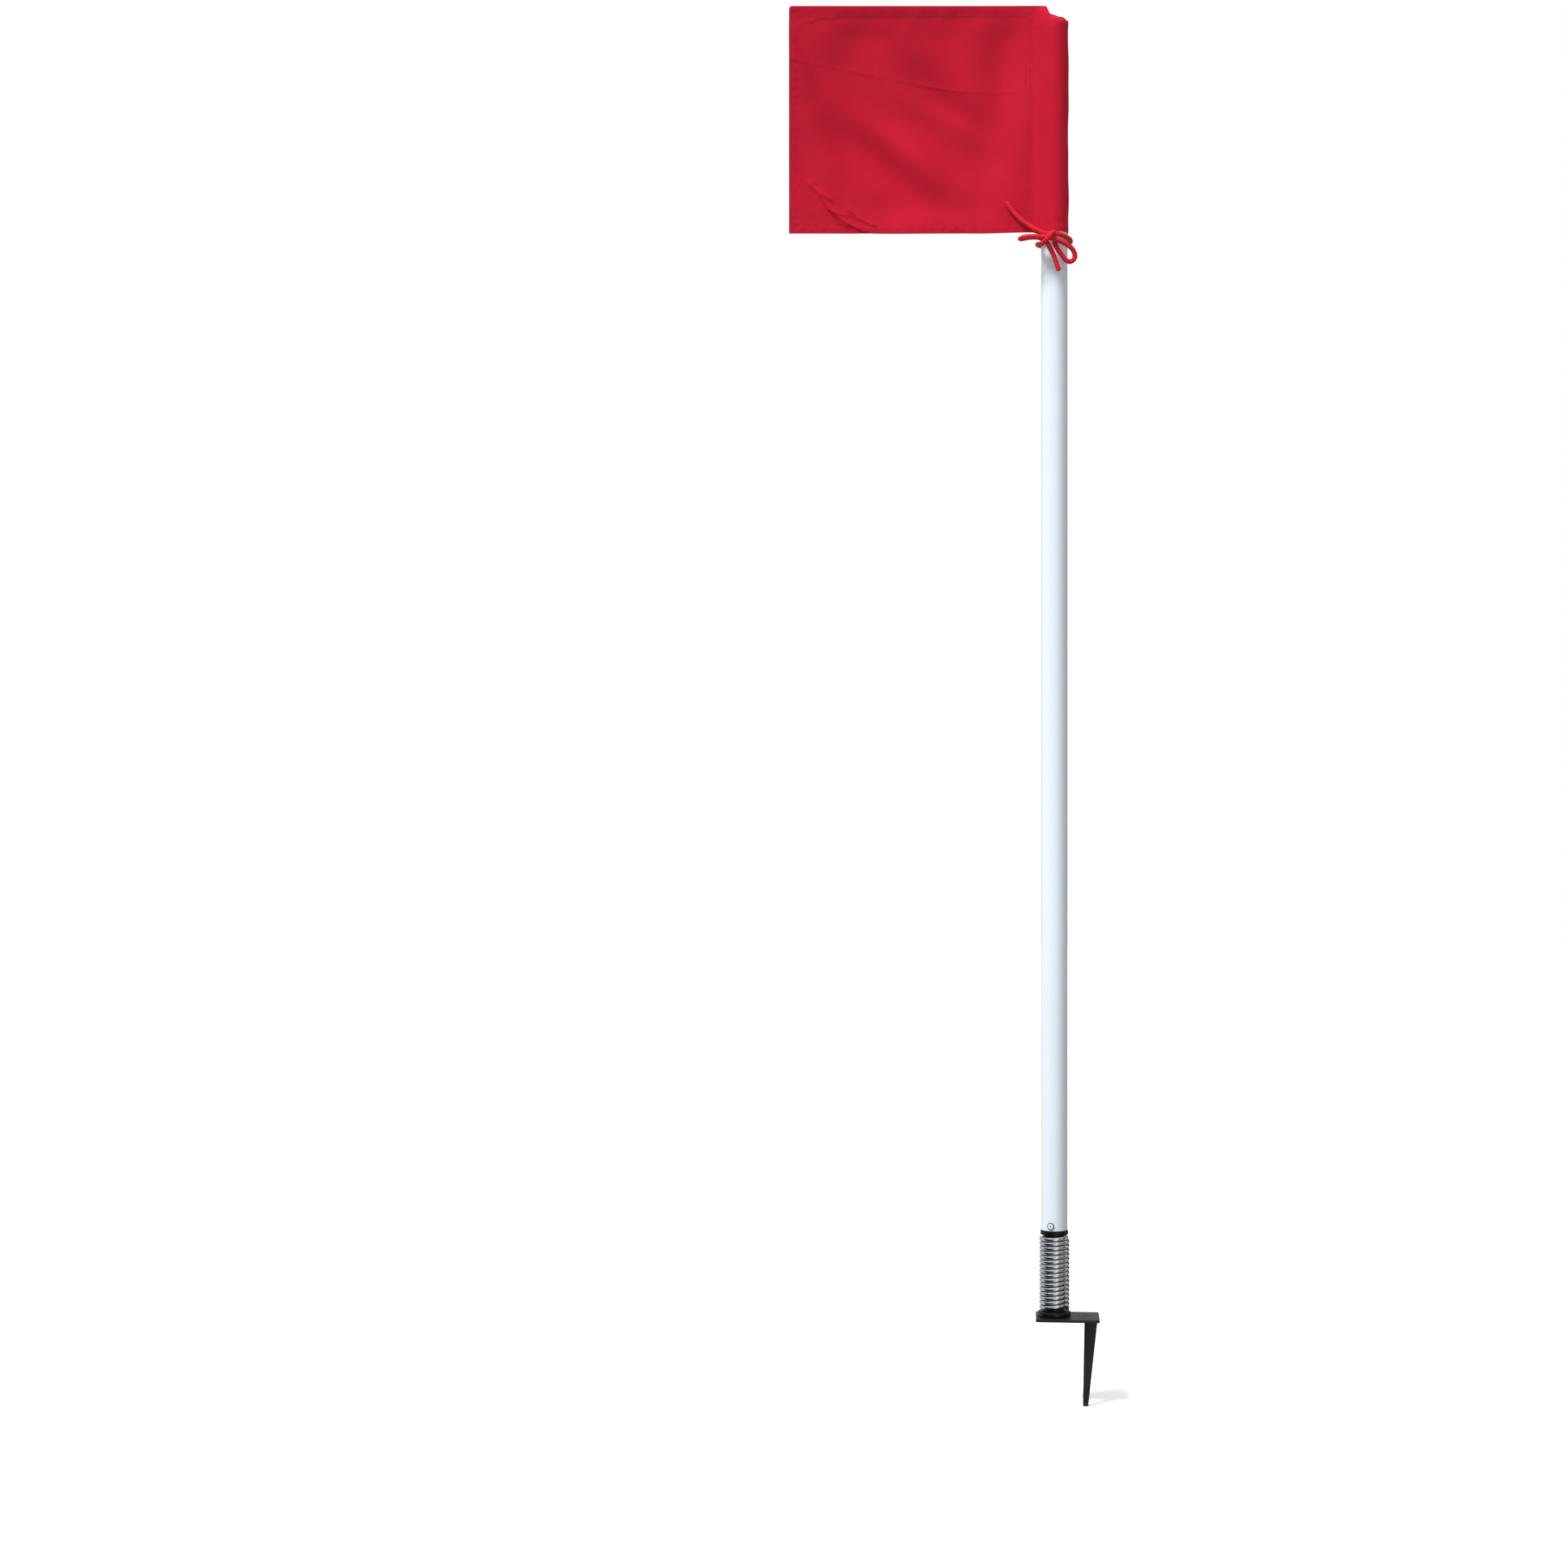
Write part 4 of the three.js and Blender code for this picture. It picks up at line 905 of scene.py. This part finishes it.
def soft_rectangle(left, right, half_depth, corner, steps=4):
    """The corners of an upright bar's section, each an arc, anticlockwise seen from above."""
    a = np.linspace(0, math.pi / 2, steps + 1)
    parts = [
        (np.clip(cx, left + corner, right - corner) + corner * np.cos(a + q), cy + corner * np.sin(a + q))
        for cx, cy, q in (
            (right, half_depth - corner, 0), (left, half_depth - corner, math.pi / 2),
            (left, corner - half_depth, math.pi), (right, corner - half_depth, 1.5 * math.pi),
        )
    ]
    return np.concatenate([np.stack(p, 1) for p in parts])


depths = np.r_[0.3, np.linspace(3, SPIKE_LENGTH - 0.6, 40), SPIKE_LENGTH - np.array([0.3, 0.08, 0])]
shrink = np.r_[np.zeros(41), 0.12, 0.3, 0.6]
rings = []
for depth_down, less in zip(depths, shrink):
    t = depth_down / SPIKE_LENGTH
    left = SPIKE_LEFT - SPIKE_SHIFT * t + less
    right = SPIKE_RIGHT + (SPIKE_LEFT - SPIKE_SHIFT + SPIKE_TIP - SPIKE_RIGHT) * t - less
    flat_ring = soft_rectangle(left, right, SPIKE_HALF - less, BAR_CORNER)
    rings.append(np.concatenate([flat_ring, np.full((len(flat_ring), 1), -depth_down)], 1))
stack = np.array(rings)
points, faces = closed_tube(stack)
corner_wear = np.tile(np.tile([0.7, 1, 1, 1, 0.7], 4), len(stack))
tip_wear = np.repeat(smoothstep(depths, 88, 99), stack.shape[1]) * 0.8
blade = make_piece(
    "spike_blade", turned_foot(points), faces, sharp_deg=40,
    values={"edge": np.r_[np.maximum(corner_wear, tip_wear), 0, 1]},
)
dress(blade, "spike", "foot")

# %% [markdown]
# A weld bead is laid in overlapping drops. Its section is a quarter fillet, and along the bead its
# size rises and falls once for each drop.

# %% Weld beads
# The fillet's leg, the length of a drop, and the pull on the crown's curve: 0 would draw it into
# the corner, and 1 would round it out.
LEG, DROP, PULL = 2.5, 1.7, 0.66
BEAD_IN, WELD_GAP, BEAD_RINGS = 1.1, 0.3, 90


def bead(side):
    """Rings of a fillet along the spike's flat side: its corner, then its crown from the plate down
    to the spike. Its leg goes with |sin| of the place along it, once for each drop, to a sixth
    less between two drops, and gets smaller at both ends."""
    xs = np.linspace(SPIKE_LEFT + BEAD_IN, SPIKE_RIGHT - BEAD_IN, BEAD_RINGS)
    swell = 0.84 + 0.16 * np.abs(np.sin(math.pi * xs / DROP)) ** 0.6
    ends_soft = np.sqrt(np.clip(1 - np.linspace(-1, 1, BEAD_RINGS) ** 10, 0.2, 1))
    t = np.linspace(0, 1, 9)
    pulled = 2 * t * (1 - t) * PULL
    size = (LEG * swell * ends_soft)[:, None]
    y = side * (SPIKE_HALF + WELD_GAP + size * np.r_[0, (1 - t) ** 2 + pulled])
    z = -WELD_GAP - size * np.r_[0, pulled + t**2]
    return np.stack([xs[:, None] + 0 * y, y, z], -1)


beads = []
for side, cad_name, own_name in ((-1, "weld_front", "bead_front"), (1, "weld_back", "bead_back")):
    points, faces = closed_tube(bead(side))
    unworn = {"edge": np.zeros(len(points))}
    weld = make_piece(own_name, turned_foot(points), faces, sharp_deg=60, values=unworn)
    beads.append(dress(weld, cad_name, "foot"))

# %% [markdown]
# The countersunk screw shows from below: a flat head with a six-sided socket. Rings with the same
# number of points change from round to six-sided, so the socket is part of the same skin.

# %% Screw
SCREW_SIDES = 96
SHANK, THREAD_DEPTH = 3, 0.14


def hexagon_ring(flat_radius, z):
    """A ring whose points lie on a hexagon: radius = inner radius / cos of the angle to the side."""
    a = full_turn(SCREW_SIDES)
    r = flat_radius / np.cos((a % (math.pi / 3)) - math.pi / 6)
    return np.stack([r * np.cos(a), r * np.sin(a), np.full(SCREW_SIDES, z)], 1)


# Radius and height of each ring: the end and the thread, whose pitch is 1 mm, the head, the socket.
thread_z = np.arange(8, 40.6, 0.25)[::-1]
thread_r = SHANK - THREAD_DEPTH + THREAD_DEPTH * np.cos(2 * math.pi * thread_z)
round_part = [(SHANK - 0.15, 41.3), (SHANK, 41.0), *zip(thread_r, thread_z)]
round_part += [(SHANK, 2.7), (5.65, 0.15), (5.6, 0.0), (2.9, 0.0)]
six_sided = [(1.95, 0.0), (1.9, 0.12), (1.9, 1.55), (1.2, 1.6)]
rings = [round_ring(r, z, SCREW_SIDES) for r, z in round_part] + [hexagon_ring(r, z) for r, z in six_sided]
points, faces = closed_tube(np.array(rings))
screw = make_piece("plug_screw", points, faces, sharp_deg=35)
dress(screw, "foot_screw", "foot")

# %% [markdown]
# ## Finishes
# A finish is built from nodes. What several finishes share is a node group, made once: `grain`
# breaks a colour into two and gives a fine height, and `worn` breaks a mask up with noise, so that
# wear along an edge looks rubbed and not drawn.

# %% Node helpers
def add(tree, kind, settings=None, **inputs):
    """Adds a node. Inputs are named by their labels with _ for a space, or by number after an n,
    and are linked where the value is a socket."""
    made = tree.nodes.new(kind)
    for key, value in (settings or {}).items():
        setattr(made, key, value)
    for key, value in inputs.items():
        socket = made.inputs[int(key[1:]) if key[1:].isdigit() else key.replace("_", " ")]
        if isinstance(value, bpy.types.NodeSocket):
            tree.links.new(value, socket)
        else:
            socket.default_value = value
    return made


def maths(tree, what, a, b=0.0, c=0.0):
    """One sum of numbers."""
    return add(tree, "ShaderNodeMath", {"operation": what}, n0=a, n1=b, n2=c).outputs[0]


def blend_colour(tree, share, first, second):
    """first where share is 0 and second where it is 1."""
    mix = add(tree, "ShaderNodeMix", {"data_type": "RGBA"}, n0=share, n6=first, n7=second)
    return mix.outputs[2]


def noise(tree, where, scale, detail, **more):
    """A noise texture's number."""
    return add(tree, "ShaderNodeTexNoise", Vector=where, Scale=scale, Detail=detail, **more).outputs[0]


def bands(tree, where, scale, **more):
    """Slanting bands, as a number."""
    slanting = {"wave_type": "BANDS", "bands_direction": "DIAGONAL"}
    return add(tree, "ShaderNodeTexWave", slanting, Vector=where, Scale=scale, **more).outputs["Fac"]


def ranged(tree, value, low, high, to_low=0.0, to_high=1.0, settings=None):
    """A value moved from one range into another, and kept inside it."""
    limits = dict(From_Min=low, From_Max=high, To_Min=to_low, To_Max=to_high)
    return add(tree, "ShaderNodeMapRange", settings, Value=value, **limits).outputs[0]


def value_of(tree, name):
    """A value that a new piece keeps on its points."""
    return add(tree, "ShaderNodeAttribute", {"attribute_name": name}).outputs["Fac"]


def own_place(tree):
    """The place in the piece's own metres."""
    return add(tree, "ShaderNodeTexCoord").outputs["Object"]


def own_map(tree):
    """The place on the piece's map, in millimetres."""
    return add(tree, "ShaderNodeUVMap", {"uv_map": "on_piece"}).outputs[0]


def new_group(name, ins, outs):
    """An empty node group with named sockets, and its input and output nodes."""
    group = bpy.data.node_groups.new(name, "ShaderNodeTree")
    for label, kind, value in ins:
        socket = group.interface.new_socket(label, in_out="INPUT", socket_type=kind)
        if value is not None:
            socket.default_value = value
    for label, kind in outs:
        group.interface.new_socket(label, in_out="OUTPUT", socket_type=kind)
    return group, group.nodes.new("NodeGroupInput"), group.nodes.new("NodeGroupOutput")


FLOAT, COLOUR, VECTOR = "NodeSocketFloat", "NodeSocketColor", "NodeSocketVector"

# %% Shared groups
grain, g_in, g_out = new_group(
    "grain",
    [("Vector", VECTOR, None), ("Broad", FLOAT, 20.0), ("Fine", FLOAT, 900.0), ("Light", COLOUR, None),
     ("Dark", COLOUR, None), ("Rough", FLOAT, 0.4), ("Rough spread", FLOAT, 0.1)],
    [("Colour", COLOUR), ("Roughness", FLOAT), ("Height", FLOAT)],
)
given = g_in.outputs
clear = ranged(grain, noise(grain, given["Vector"], given["Broad"], 4.0), 0.3, 0.7)
mixed = blend_colour(grain, clear, given["Light"], given["Dark"])
either_way = maths(grain, "SUBTRACT", clear, 0.5)
swing = maths(grain, "MULTIPLY_ADD", either_way, given["Rough spread"], given["Rough"])
fine = noise(grain, given["Vector"], given["Fine"], 3.0)
for label, socket in (("Colour", mixed), ("Roughness", swing), ("Height", fine)):
    grain.links.new(socket, g_out.inputs[label])

worn, w_in, w_out = new_group(
    "worn", [("Vector", VECTOR, None), ("Mask", FLOAT, 0.0), ("Scale", FLOAT, 300.0), ("Start", FLOAT, 0.62)],
    [("Mask", FLOAT)],
)
given = w_in.outputs
scuff = noise(worn, given["Vector"], given["Scale"], 5.0)
rubbed = maths(worn, "GREATER_THAN", maths(worn, "MULTIPLY", scuff, given["Mask"]), given["Start"])
worn.links.new(rubbed, w_out.inputs["Mask"])
print("groups", [g.name for g in bpy.data.node_groups])

# %% Finish maker
def new_finish(name):
    """An empty material with its tree, its Principled shader and its output joined."""
    finish = bpy.data.materials.new(name)
    finish.use_nodes = True
    tree = finish.node_tree
    tree.nodes.clear()
    shader = add(tree, "ShaderNodeBsdfPrincipled")
    out = add(tree, "ShaderNodeOutputMaterial")
    tree.links.new(shader.outputs[0], out.inputs[0])
    return finish, tree, shader


def give(tree, shader, **sockets):
    """Sets or links the shader's own sockets."""
    for key, value in sockets.items():
        socket = shader.inputs[key.replace("_", " ")]
        if isinstance(value, bpy.types.NodeSocket):
            tree.links.new(value, socket)
        else:
            socket.default_value = value


def put_on(finish, *shapes):
    """Gives shapes the finish: in the mesh of a new piece, in the slots of a CAD node."""
    for shape in shapes:
        if not shape.material_slots:
            shape.data.materials.append(finish)
        for place in shape.material_slots:
            place.material = finish


def grained(tree, where, light, dark, rough, spread, broad, fine):
    """The shared grain group with this finish's values."""
    colours = dict(Light=(*light, 1), Dark=(*dark, 1))
    values = dict(Rough=rough, Rough_spread=spread, Broad=broad, Fine=fine)
    return add(tree, "ShaderNodeGroup", {"node_tree": grain}, Vector=where, **colours, **values).outputs


def from_grain(tree, shader, tone, bump_mm, strength, height=None, **sockets):
    """Gives the shader the grain's colour, roughness and bumps, and any sockets of its own. Another
    height may take the place of the grain's."""
    bumps = dict(Height=height or tone["Height"], Distance=bump_mm * MM, Strength=strength)
    normal = add(tree, "ShaderNodeBump", **bumps).outputs[0]
    own = {"Base_Color": tone["Colour"], "Roughness": tone["Roughness"], "Normal": normal, **sockets}
    give(tree, shader, **own)


def plain_finish(name, looks, bump_mm, strength, **sockets):
    """A finish of grain alone, laid out by the place in the piece."""
    finish, tree, shader = new_finish(name)
    from_grain(tree, shader, grained(tree, own_place(tree), *looks), bump_mm, strength, **sockets)
    return finish


# %% [markdown]
# ### Nylon
# Flag nylon is a plain weave of shiny filaments: from afar it is smooth with a soft silky light
# along its folds, and close up threads pass over and under each other. Two waves across each other
# on the cloth's own map, in millimetres, make the weave.

# %% Nylon finish
# Threads in a millimetre.
THREADS = 2.6
nylon, tree, shader = new_finish("red_nylon")
on_map = own_map(tree)
split = add(tree, "ShaderNodeSeparateXYZ", Vector=on_map).outputs
beats = [maths(tree, "MULTIPLY", split[k], THREADS * 2 * math.pi) for k in (0, 1)]
weave = maths(tree, "MULTIPLY", *[maths(tree, "SINE", beat) for beat in beats])
tone = grained(tree, on_map, (0.515, 0.0070, 0.0295), (0.48, 0.0054, 0.0257), 0.5, 0.08, 0.02, 1.4)
# Hems are doubled cloth, painted darker: shade where less light shines through them from behind.
hem_share = maths(tree, "MULTIPLY", value_of(tree, "hem"), 0.12)
doubled_and_shaded = blend_colour(tree, hem_share, tone["Colour"], (0.42, 0.004, 0.018, 1))
bright = ranged(tree, weave, -1.0, 1.0, 0.96, 1.03)
shade = add(tree, "ShaderNodeVectorMath", {"operation": "SCALE"}, n0=doubled_and_shaded, n3=bright).outputs[0]
heights = maths(tree, "MULTIPLY_ADD", tone["Height"], 0.6, weave)
from_grain(tree, shader, tone, 0.03, 0.35, heights, Base_Color=shade, Specular_IOR_Level=0.16)
give(tree, shader, Sheen_Weight=0.03, Sheen_Roughness=0.3, Sheen_Tint=(0.9, 0.12, 0.18, 1))
put_on(nylon, cloth)

# %% [markdown]
# The sewing thread is a little brighter and glossier than the cloth, with the twist of its plies.

# %% Thread finish
sewing, tree, shader = new_finish("red_thread")
where = own_place(tree)
tone = grained(tree, where, (0.62, 0.010, 0.040), (0.56, 0.008, 0.034), 0.5, 0.1, 60, 1500)
from_grain(tree, shader, tone, 0.05, 0.5, bands(tree, where, 900.0))
put_on(sewing, stitching)

# %% [markdown]
# ### Cord yarn
# Each plait is a flat bundle of fine yarn. The grooves between plaits are darker, because less
# light reaches them, and fine slanting lines stand for the filaments.

# %% Yarn finish
yarn, tree, shader = new_finish("red_yarn")
on_map = own_map(tree)
tone = grained(tree, on_map, (0.86, 0.026, 0.050), (0.68, 0.014, 0.032), 0.6, 0.1, 0.25, 3.0)
depth_in = ranged(tree, value_of(tree, "plait"), 0.15, 0.85)
colour = blend_colour(tree, depth_in, (0.26, 0.002, 0.008, 1), tone["Colour"])
heights = maths(tree, "ADD", bands(tree, on_map, 0.9, Distortion=1.2), tone["Height"])
from_grain(tree, shader, tone, 0.12, 0.5, heights, Base_Color=colour, Specular_IOR_Level=0.25)
give(tree, shader, Sheen_Weight=0.04, Sheen_Roughness=0.4)
put_on(yarn, braid)

# %% [markdown]
# ### Pole plastic
# The pole is an extruded plastic tube, a cold white. The die leaves very faint lines along it, and
# handling leaves a few matt scuffs. The lines come from noise that is stretched along the pole.

# %% Pole finish
plastic, tree, shader = new_finish("pole_white")
where = own_place(tree)
long = add(tree, "ShaderNodeMapping", Vector=where, Scale=(1.0, 1.0, 0.012)).outputs[0]
tone = grained(tree, long, (0.745, 0.81, 0.87), (0.725, 0.80, 0.865), 0.3, 0.06, 90, 700)
scuffed = ranged(tree, noise(tree, where, 38.0, 8.0, Roughness=0.7), 0.62, 0.75)
rough = maths(tree, "MULTIPLY_ADD", scuffed, 0.2, tone["Roughness"])
from_grain(tree, shader, tone, 0.02, 0.25, Roughness=rough, Specular_IOR_Level=0.5)
put_on(plastic, pole)

# %% [markdown]
# ### Moulded black plastic
# The plugs are moulded in black plastic with a light spark-eroded texture, whose gloss changes a
# little from place to place. The cap under the cloth is the same in a pale grey.

# %% Black plastic finish
black = ((0.0035, 0.0035, 0.004), (0.0055, 0.0053, 0.0056), 0.24, 0.12, 70, 2600)
moulded = plain_finish("black_moulded", black, 0.04, 0.4, Specular_IOR_Level=0.26)
put_on(moulded, upper_plug, lower_plug)
pale = ((0.62, 0.63, 0.66), (0.55, 0.56, 0.6), 0.4, 0.1, 50, 1800)
put_on(plain_finish("cap_moulded", pale, 0.04, 0.4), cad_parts["pole_cap"])

# %% [markdown]
# ### Powder-coated steel
# Powder coat melts into a skin with a slight orange peel. Packing and handling polish its edges a
# little, which greys them. The edges are known from the shapes, as a value on the points, and the
# worn group breaks them up.

# %% Powder coat finish
coat, tree, shader = new_finish("black_powder_coat")
where = own_place(tree)
tone = grained(tree, where, (0.0085, 0.0080, 0.0080), (0.0112, 0.0105, 0.0105), 0.42, 0.12, 45, 1100)
rub = dict(Vector=where, Mask=value_of(tree, "edge"), Scale=420.0, Start=0.70)
bare = add(tree, "ShaderNodeGroup", {"node_tree": worn}, **rub).outputs["Mask"]
colour = blend_colour(tree, bare, tone["Colour"], (0.045, 0.043, 0.042, 1))
metal = maths(tree, "MULTIPLY", bare, 0.3)
from_grain(tree, shader, tone, 0.12, 0.35, Base_Color=colour, Metallic=metal, Specular_IOR_Level=0.34)
put_on(coat, plate, blade, *beads)

# %% [markdown]
# ### Plated steel
# The spring wire is zinc plated and passivated, which leaves a faint blue. Drawing the wire leaves
# fine lines along it, and shade is painted onto the plating between the turns. It is a metal, so most
# of its look is what it mirrors: the studio gets dark and light parts for it further down. The screw
# and its washer and nut are a duller zinc.

# %% Plating finish
plating, tree, shader = new_finish("bright_plating")
drawn = add(tree, "ShaderNodeMapping", Vector=own_map(tree), Scale=(0.03, 1.0, 1.0)).outputs[0]
tone = grained(tree, drawn, (0.72, 0.725, 0.725), (0.62, 0.67, 0.73), 0.12, 0.07, 0.5, 7.0)
# Painted shade between the turns, and a darker middle on each sawn end.
between = maths(tree, "MULTIPLY", value_of(tree, "crevice_shade_and_sawn_ends"), 0.75)
colour = blend_colour(tree, between, tone["Colour"], (0.05, 0.075, 0.10, 1))
from_grain(tree, shader, tone, 0.03, 0.3, Base_Color=colour, Metallic=1.0)
put_on(plating, *coils)

zinc = ((0.62, 0.62, 0.60), (0.50, 0.52, 0.54), 0.3, 0.15, 120, 1800)
fastener = plain_finish("fastener_zinc", zinc, 0.03, 0.4, Metallic=1.0)
put_on(fastener, screw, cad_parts["foot_washer"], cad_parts["foot_nut"])

# %% [markdown]
# ### Rivet
# The rivet's dome is painted white, with a dark ring of painted shade round its rim. Its pin is
# steel, coloured near black as painted shade of the hole that it sits in.

# %% Rivet finishes
painted, tree, shader = new_finish("rivet_white")
where = own_place(tree)
tone = grained(tree, where, (0.82, 0.84, 0.87), (0.72, 0.74, 0.78), 0.3, 0.1, 200, 1500)
# Painted shade: a dark ring round the dome's rim.
colour = blend_colour(tree, value_of(tree, "rim"), tone["Colour"], (0.055, 0.055, 0.06, 1))
from_grain(tree, shader, tone, 0.03, 0.3, Base_Color=colour)
put_on(painted, rivet)

# Painted shade: the pin is coloured near black, for the shade of its hole.
steel = ((0.035, 0.035, 0.037), (0.012, 0.012, 0.013), 0.5, 0.2, 900, 3000)
put_on(plain_finish("pin_steel", steel, 0.1, 0.5, Metallic=0.7), pin)
print("finishes", [m.name for m in bpy.data.materials if m.use_nodes])

# %% [markdown]
# ## Studio
# The photograph has a pure white ground, soft light from the upper left, and a spring that mirrors
# dark and light parts of a studio. Rays that light the object meet a sky that is brighter in front,
# on the left and above. Mirrored rays meet a pale room with dark, grey and white boards in it. One
# group paints the boards by direction, so that the world and the floor show the same ones. The
# camera meets plain white.

# %% Boards
BOARDS = [
    # azimuth from, to (0 is towards the camera, + is to the right), lowest and highest elevation,
    # brightness as red, green and blue
    ((-95, -74), (-80, 50), (0.52, 0.53, 0.54)),
    ((-88, -12), (-75, 14), (0.008, 0.012, 0.020)),
    ((-34, -20), (-60, 10), (0.03, 0.08, 0.155)),
    ((-60, -8), (14, 50), (1.0, 1.0, 1.0)),
    ((4, 24), (-70, 64), (1.0, 1.0, 1.0)),
    ((28, 70), (-80, 46), (0.34, 0.32, 0.295)),
    ((70, 88), (-70, 34), (0.012, 0.014, 0.020)),
    ((90, 128), (-80, 50), (0.46, 0.455, 0.45)),
    ((128, 166), (-80, 40), (0.10, 0.10, 0.11)),
]
ROOM_GREY = (0.56, 0.57, 0.58, 1)
# Directions run from the left of the first board once round, and each board's edges are soft.
FIRST_DEG, SOFT_ACROSS, SOFT_UP = -98.0, 3, 8


def inside(tree, value, low, high, soft):
    """1 between low and high, fading to 0 over a soft edge."""
    smooth = {"interpolation_type": "SMOOTHSTEP"}
    up = ranged(tree, value, low - soft, low + soft, settings=smooth)
    down = ranged(tree, value, high - soft, high + soft, 1.0, 0.0, smooth)
    return maths(tree, "MULTIPLY", up, down)


boards, b_in, b_out = new_group("boards", [("Vector", VECTOR, None)], [("Colour", COLOUR)])
way = add(boards, "ShaderNodeVectorMath", {"operation": "NORMALIZE"}, n0=b_in.outputs["Vector"]).outputs[0]
x, y, z = add(boards, "ShaderNodeSeparateXYZ", Vector=way).outputs
azimuth = maths(boards, "DEGREES", maths(boards, "ARCTAN2", x, maths(boards, "MULTIPLY", y, -1.0)))
azimuth = maths(boards, "WRAP", azimuth, FIRST_DEG + 360, FIRST_DEG)
elevation = maths(boards, "DEGREES", maths(boards, "ARCSINE", z))
room = ROOM_GREY
for (left, right), (low, high), board in BOARDS:
    beside = inside(boards, azimuth, left, right, SOFT_ACROSS)
    level = inside(boards, elevation, low, high, SOFT_UP)
    room = blend_colour(boards, maths(boards, "MULTIPLY", beside, level), room, (*board, 1))
boards.links.new(room, b_out.inputs["Colour"])
print("studio with", len(BOARDS), "boards")

# %% World
LIT_FROM = unit(np.array([-0.55, -0.55, 0.63]))
SKY_DIM, SKY_BRIGHT = 0.14, 0.79
WHITE = (1, 1, 1, 1)
world = bpy.data.worlds.new("studio")
world.use_nodes = True
bpy.context.scene.world = world
tree = world.node_tree
tree.nodes.clear()
way = add(tree, "ShaderNodeTexCoord").outputs["Generated"]
toward = add(tree, "ShaderNodeVectorMath", {"operation": "DOT_PRODUCT"}, n0=way, n1=tuple(LIT_FROM))
sky = ranged(tree, toward.outputs["Value"], -1.0, 1.0, SKY_DIM, SKY_BRIGHT)
room = add(tree, "ShaderNodeGroup", {"node_tree": boards}, Vector=way).outputs["Colour"]
lighting, mirrored, seen = (
    add(tree, "ShaderNodeBackground", Color=colour, Strength=strength).outputs[0]
    for colour, strength in ((WHITE, sky), (room, 1.0), (WHITE, 1.0))
)
path = add(tree, "ShaderNodeLightPath").outputs
glossy = add(tree, "ShaderNodeMixShader", n0=path["Is Glossy Ray"], n1=lighting, n2=mirrored).outputs[0]
clear_rays = maths(tree, "MAXIMUM", path["Is Camera Ray"], path["Is Transmission Ray"])
shown = add(tree, "ShaderNodeMixShader", n0=clear_rays, n1=glossy, n2=seen).outputs[0]
tree.links.new(shown, add(tree, "ShaderNodeOutputWorld").inputs[0])

# %% Lamp and floor
SUN_FROM = unit(np.array([-0.40, -0.42, 0.815]))
SUN_STRENGTH, SUN_WIDE_DEG = 3.5, 15
sun_data = bpy.data.lights.new("key", "SUN")
sun_data.energy = SUN_STRENGTH
sun_data.angle = math.radians(SUN_WIDE_DEG)
sun = bpy.data.objects.new("key", sun_data)
sun.rotation_euler = (math.acos(SUN_FROM[2]), 0, math.atan2(SUN_FROM[0], -SUN_FROM[1]))
sun.visible_glossy = False
bpy.context.scene.collection.objects.link(sun)

FLOOR_Z, FLOOR_REACH = -99.6, 9000.0
FLOOR_BOUNCE, FLOOR_GLOW = (0.30, 0.30, 0.30, 1), 0.36
SPRING_MIDDLE = (0.0, 0.0, 0.05)
corners = ((-1, -1), (1, -1), (1, 1), (-1, 1))
floor_points = [[side_x * FLOOR_REACH, side_y * FLOOR_REACH, FLOOR_Z] for side_x, side_y in corners]
floor = make_piece("floor", floor_points, [np.array([[0, 1, 2, 3]])])
paper, tree, shader = new_finish("studio_paper")
where = own_place(tree)
tone = grained(tree, where, (0.80, 0.80, 0.80), (0.79, 0.79, 0.79), 0.9, 0.02, 2, 400)
path = add(tree, "ShaderNodeLightPath").outputs
from_spring = add(tree, "ShaderNodeVectorMath", {"operation": "SUBTRACT"}, n0=where, n1=SPRING_MIDDLE)
mirrored = add(tree, "ShaderNodeGroup", {"node_tree": boards}, Vector=from_spring.outputs[0])
clear_rays = maths(tree, "MAXIMUM", path["Is Camera Ray"], path["Is Transmission Ray"])
pale = blend_colour(tree, clear_rays, FLOOR_BOUNCE, tone["Colour"])
pale = blend_colour(tree, path["Is Glossy Ray"], pale, (0, 0, 0, 1))
glow = blend_colour(tree, path["Is Glossy Ray"], WHITE, mirrored.outputs["Colour"])
strength = maths(tree, "MULTIPLY_ADD", clear_rays, FLOOR_GLOW, path["Is Glossy Ray"])
give(tree, shader, Base_Color=pale, Roughness=tone["Roughness"], Specular_IOR_Level=0.0)
give(tree, shader, Emission_Color=glow, Emission_Strength=strength)
put_on(paper, floor)
bpy.context.scene.view_settings.view_transform = "Standard"
print("floor at", FLOOR_Z, "mm")

# %% [markdown]
# ## Spring halves
# The two halves of the spring get their placement put into their points.

# %% Bake the spring halves
lower_half, upper_half = coils
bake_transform(lower_half)
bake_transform(upper_half)
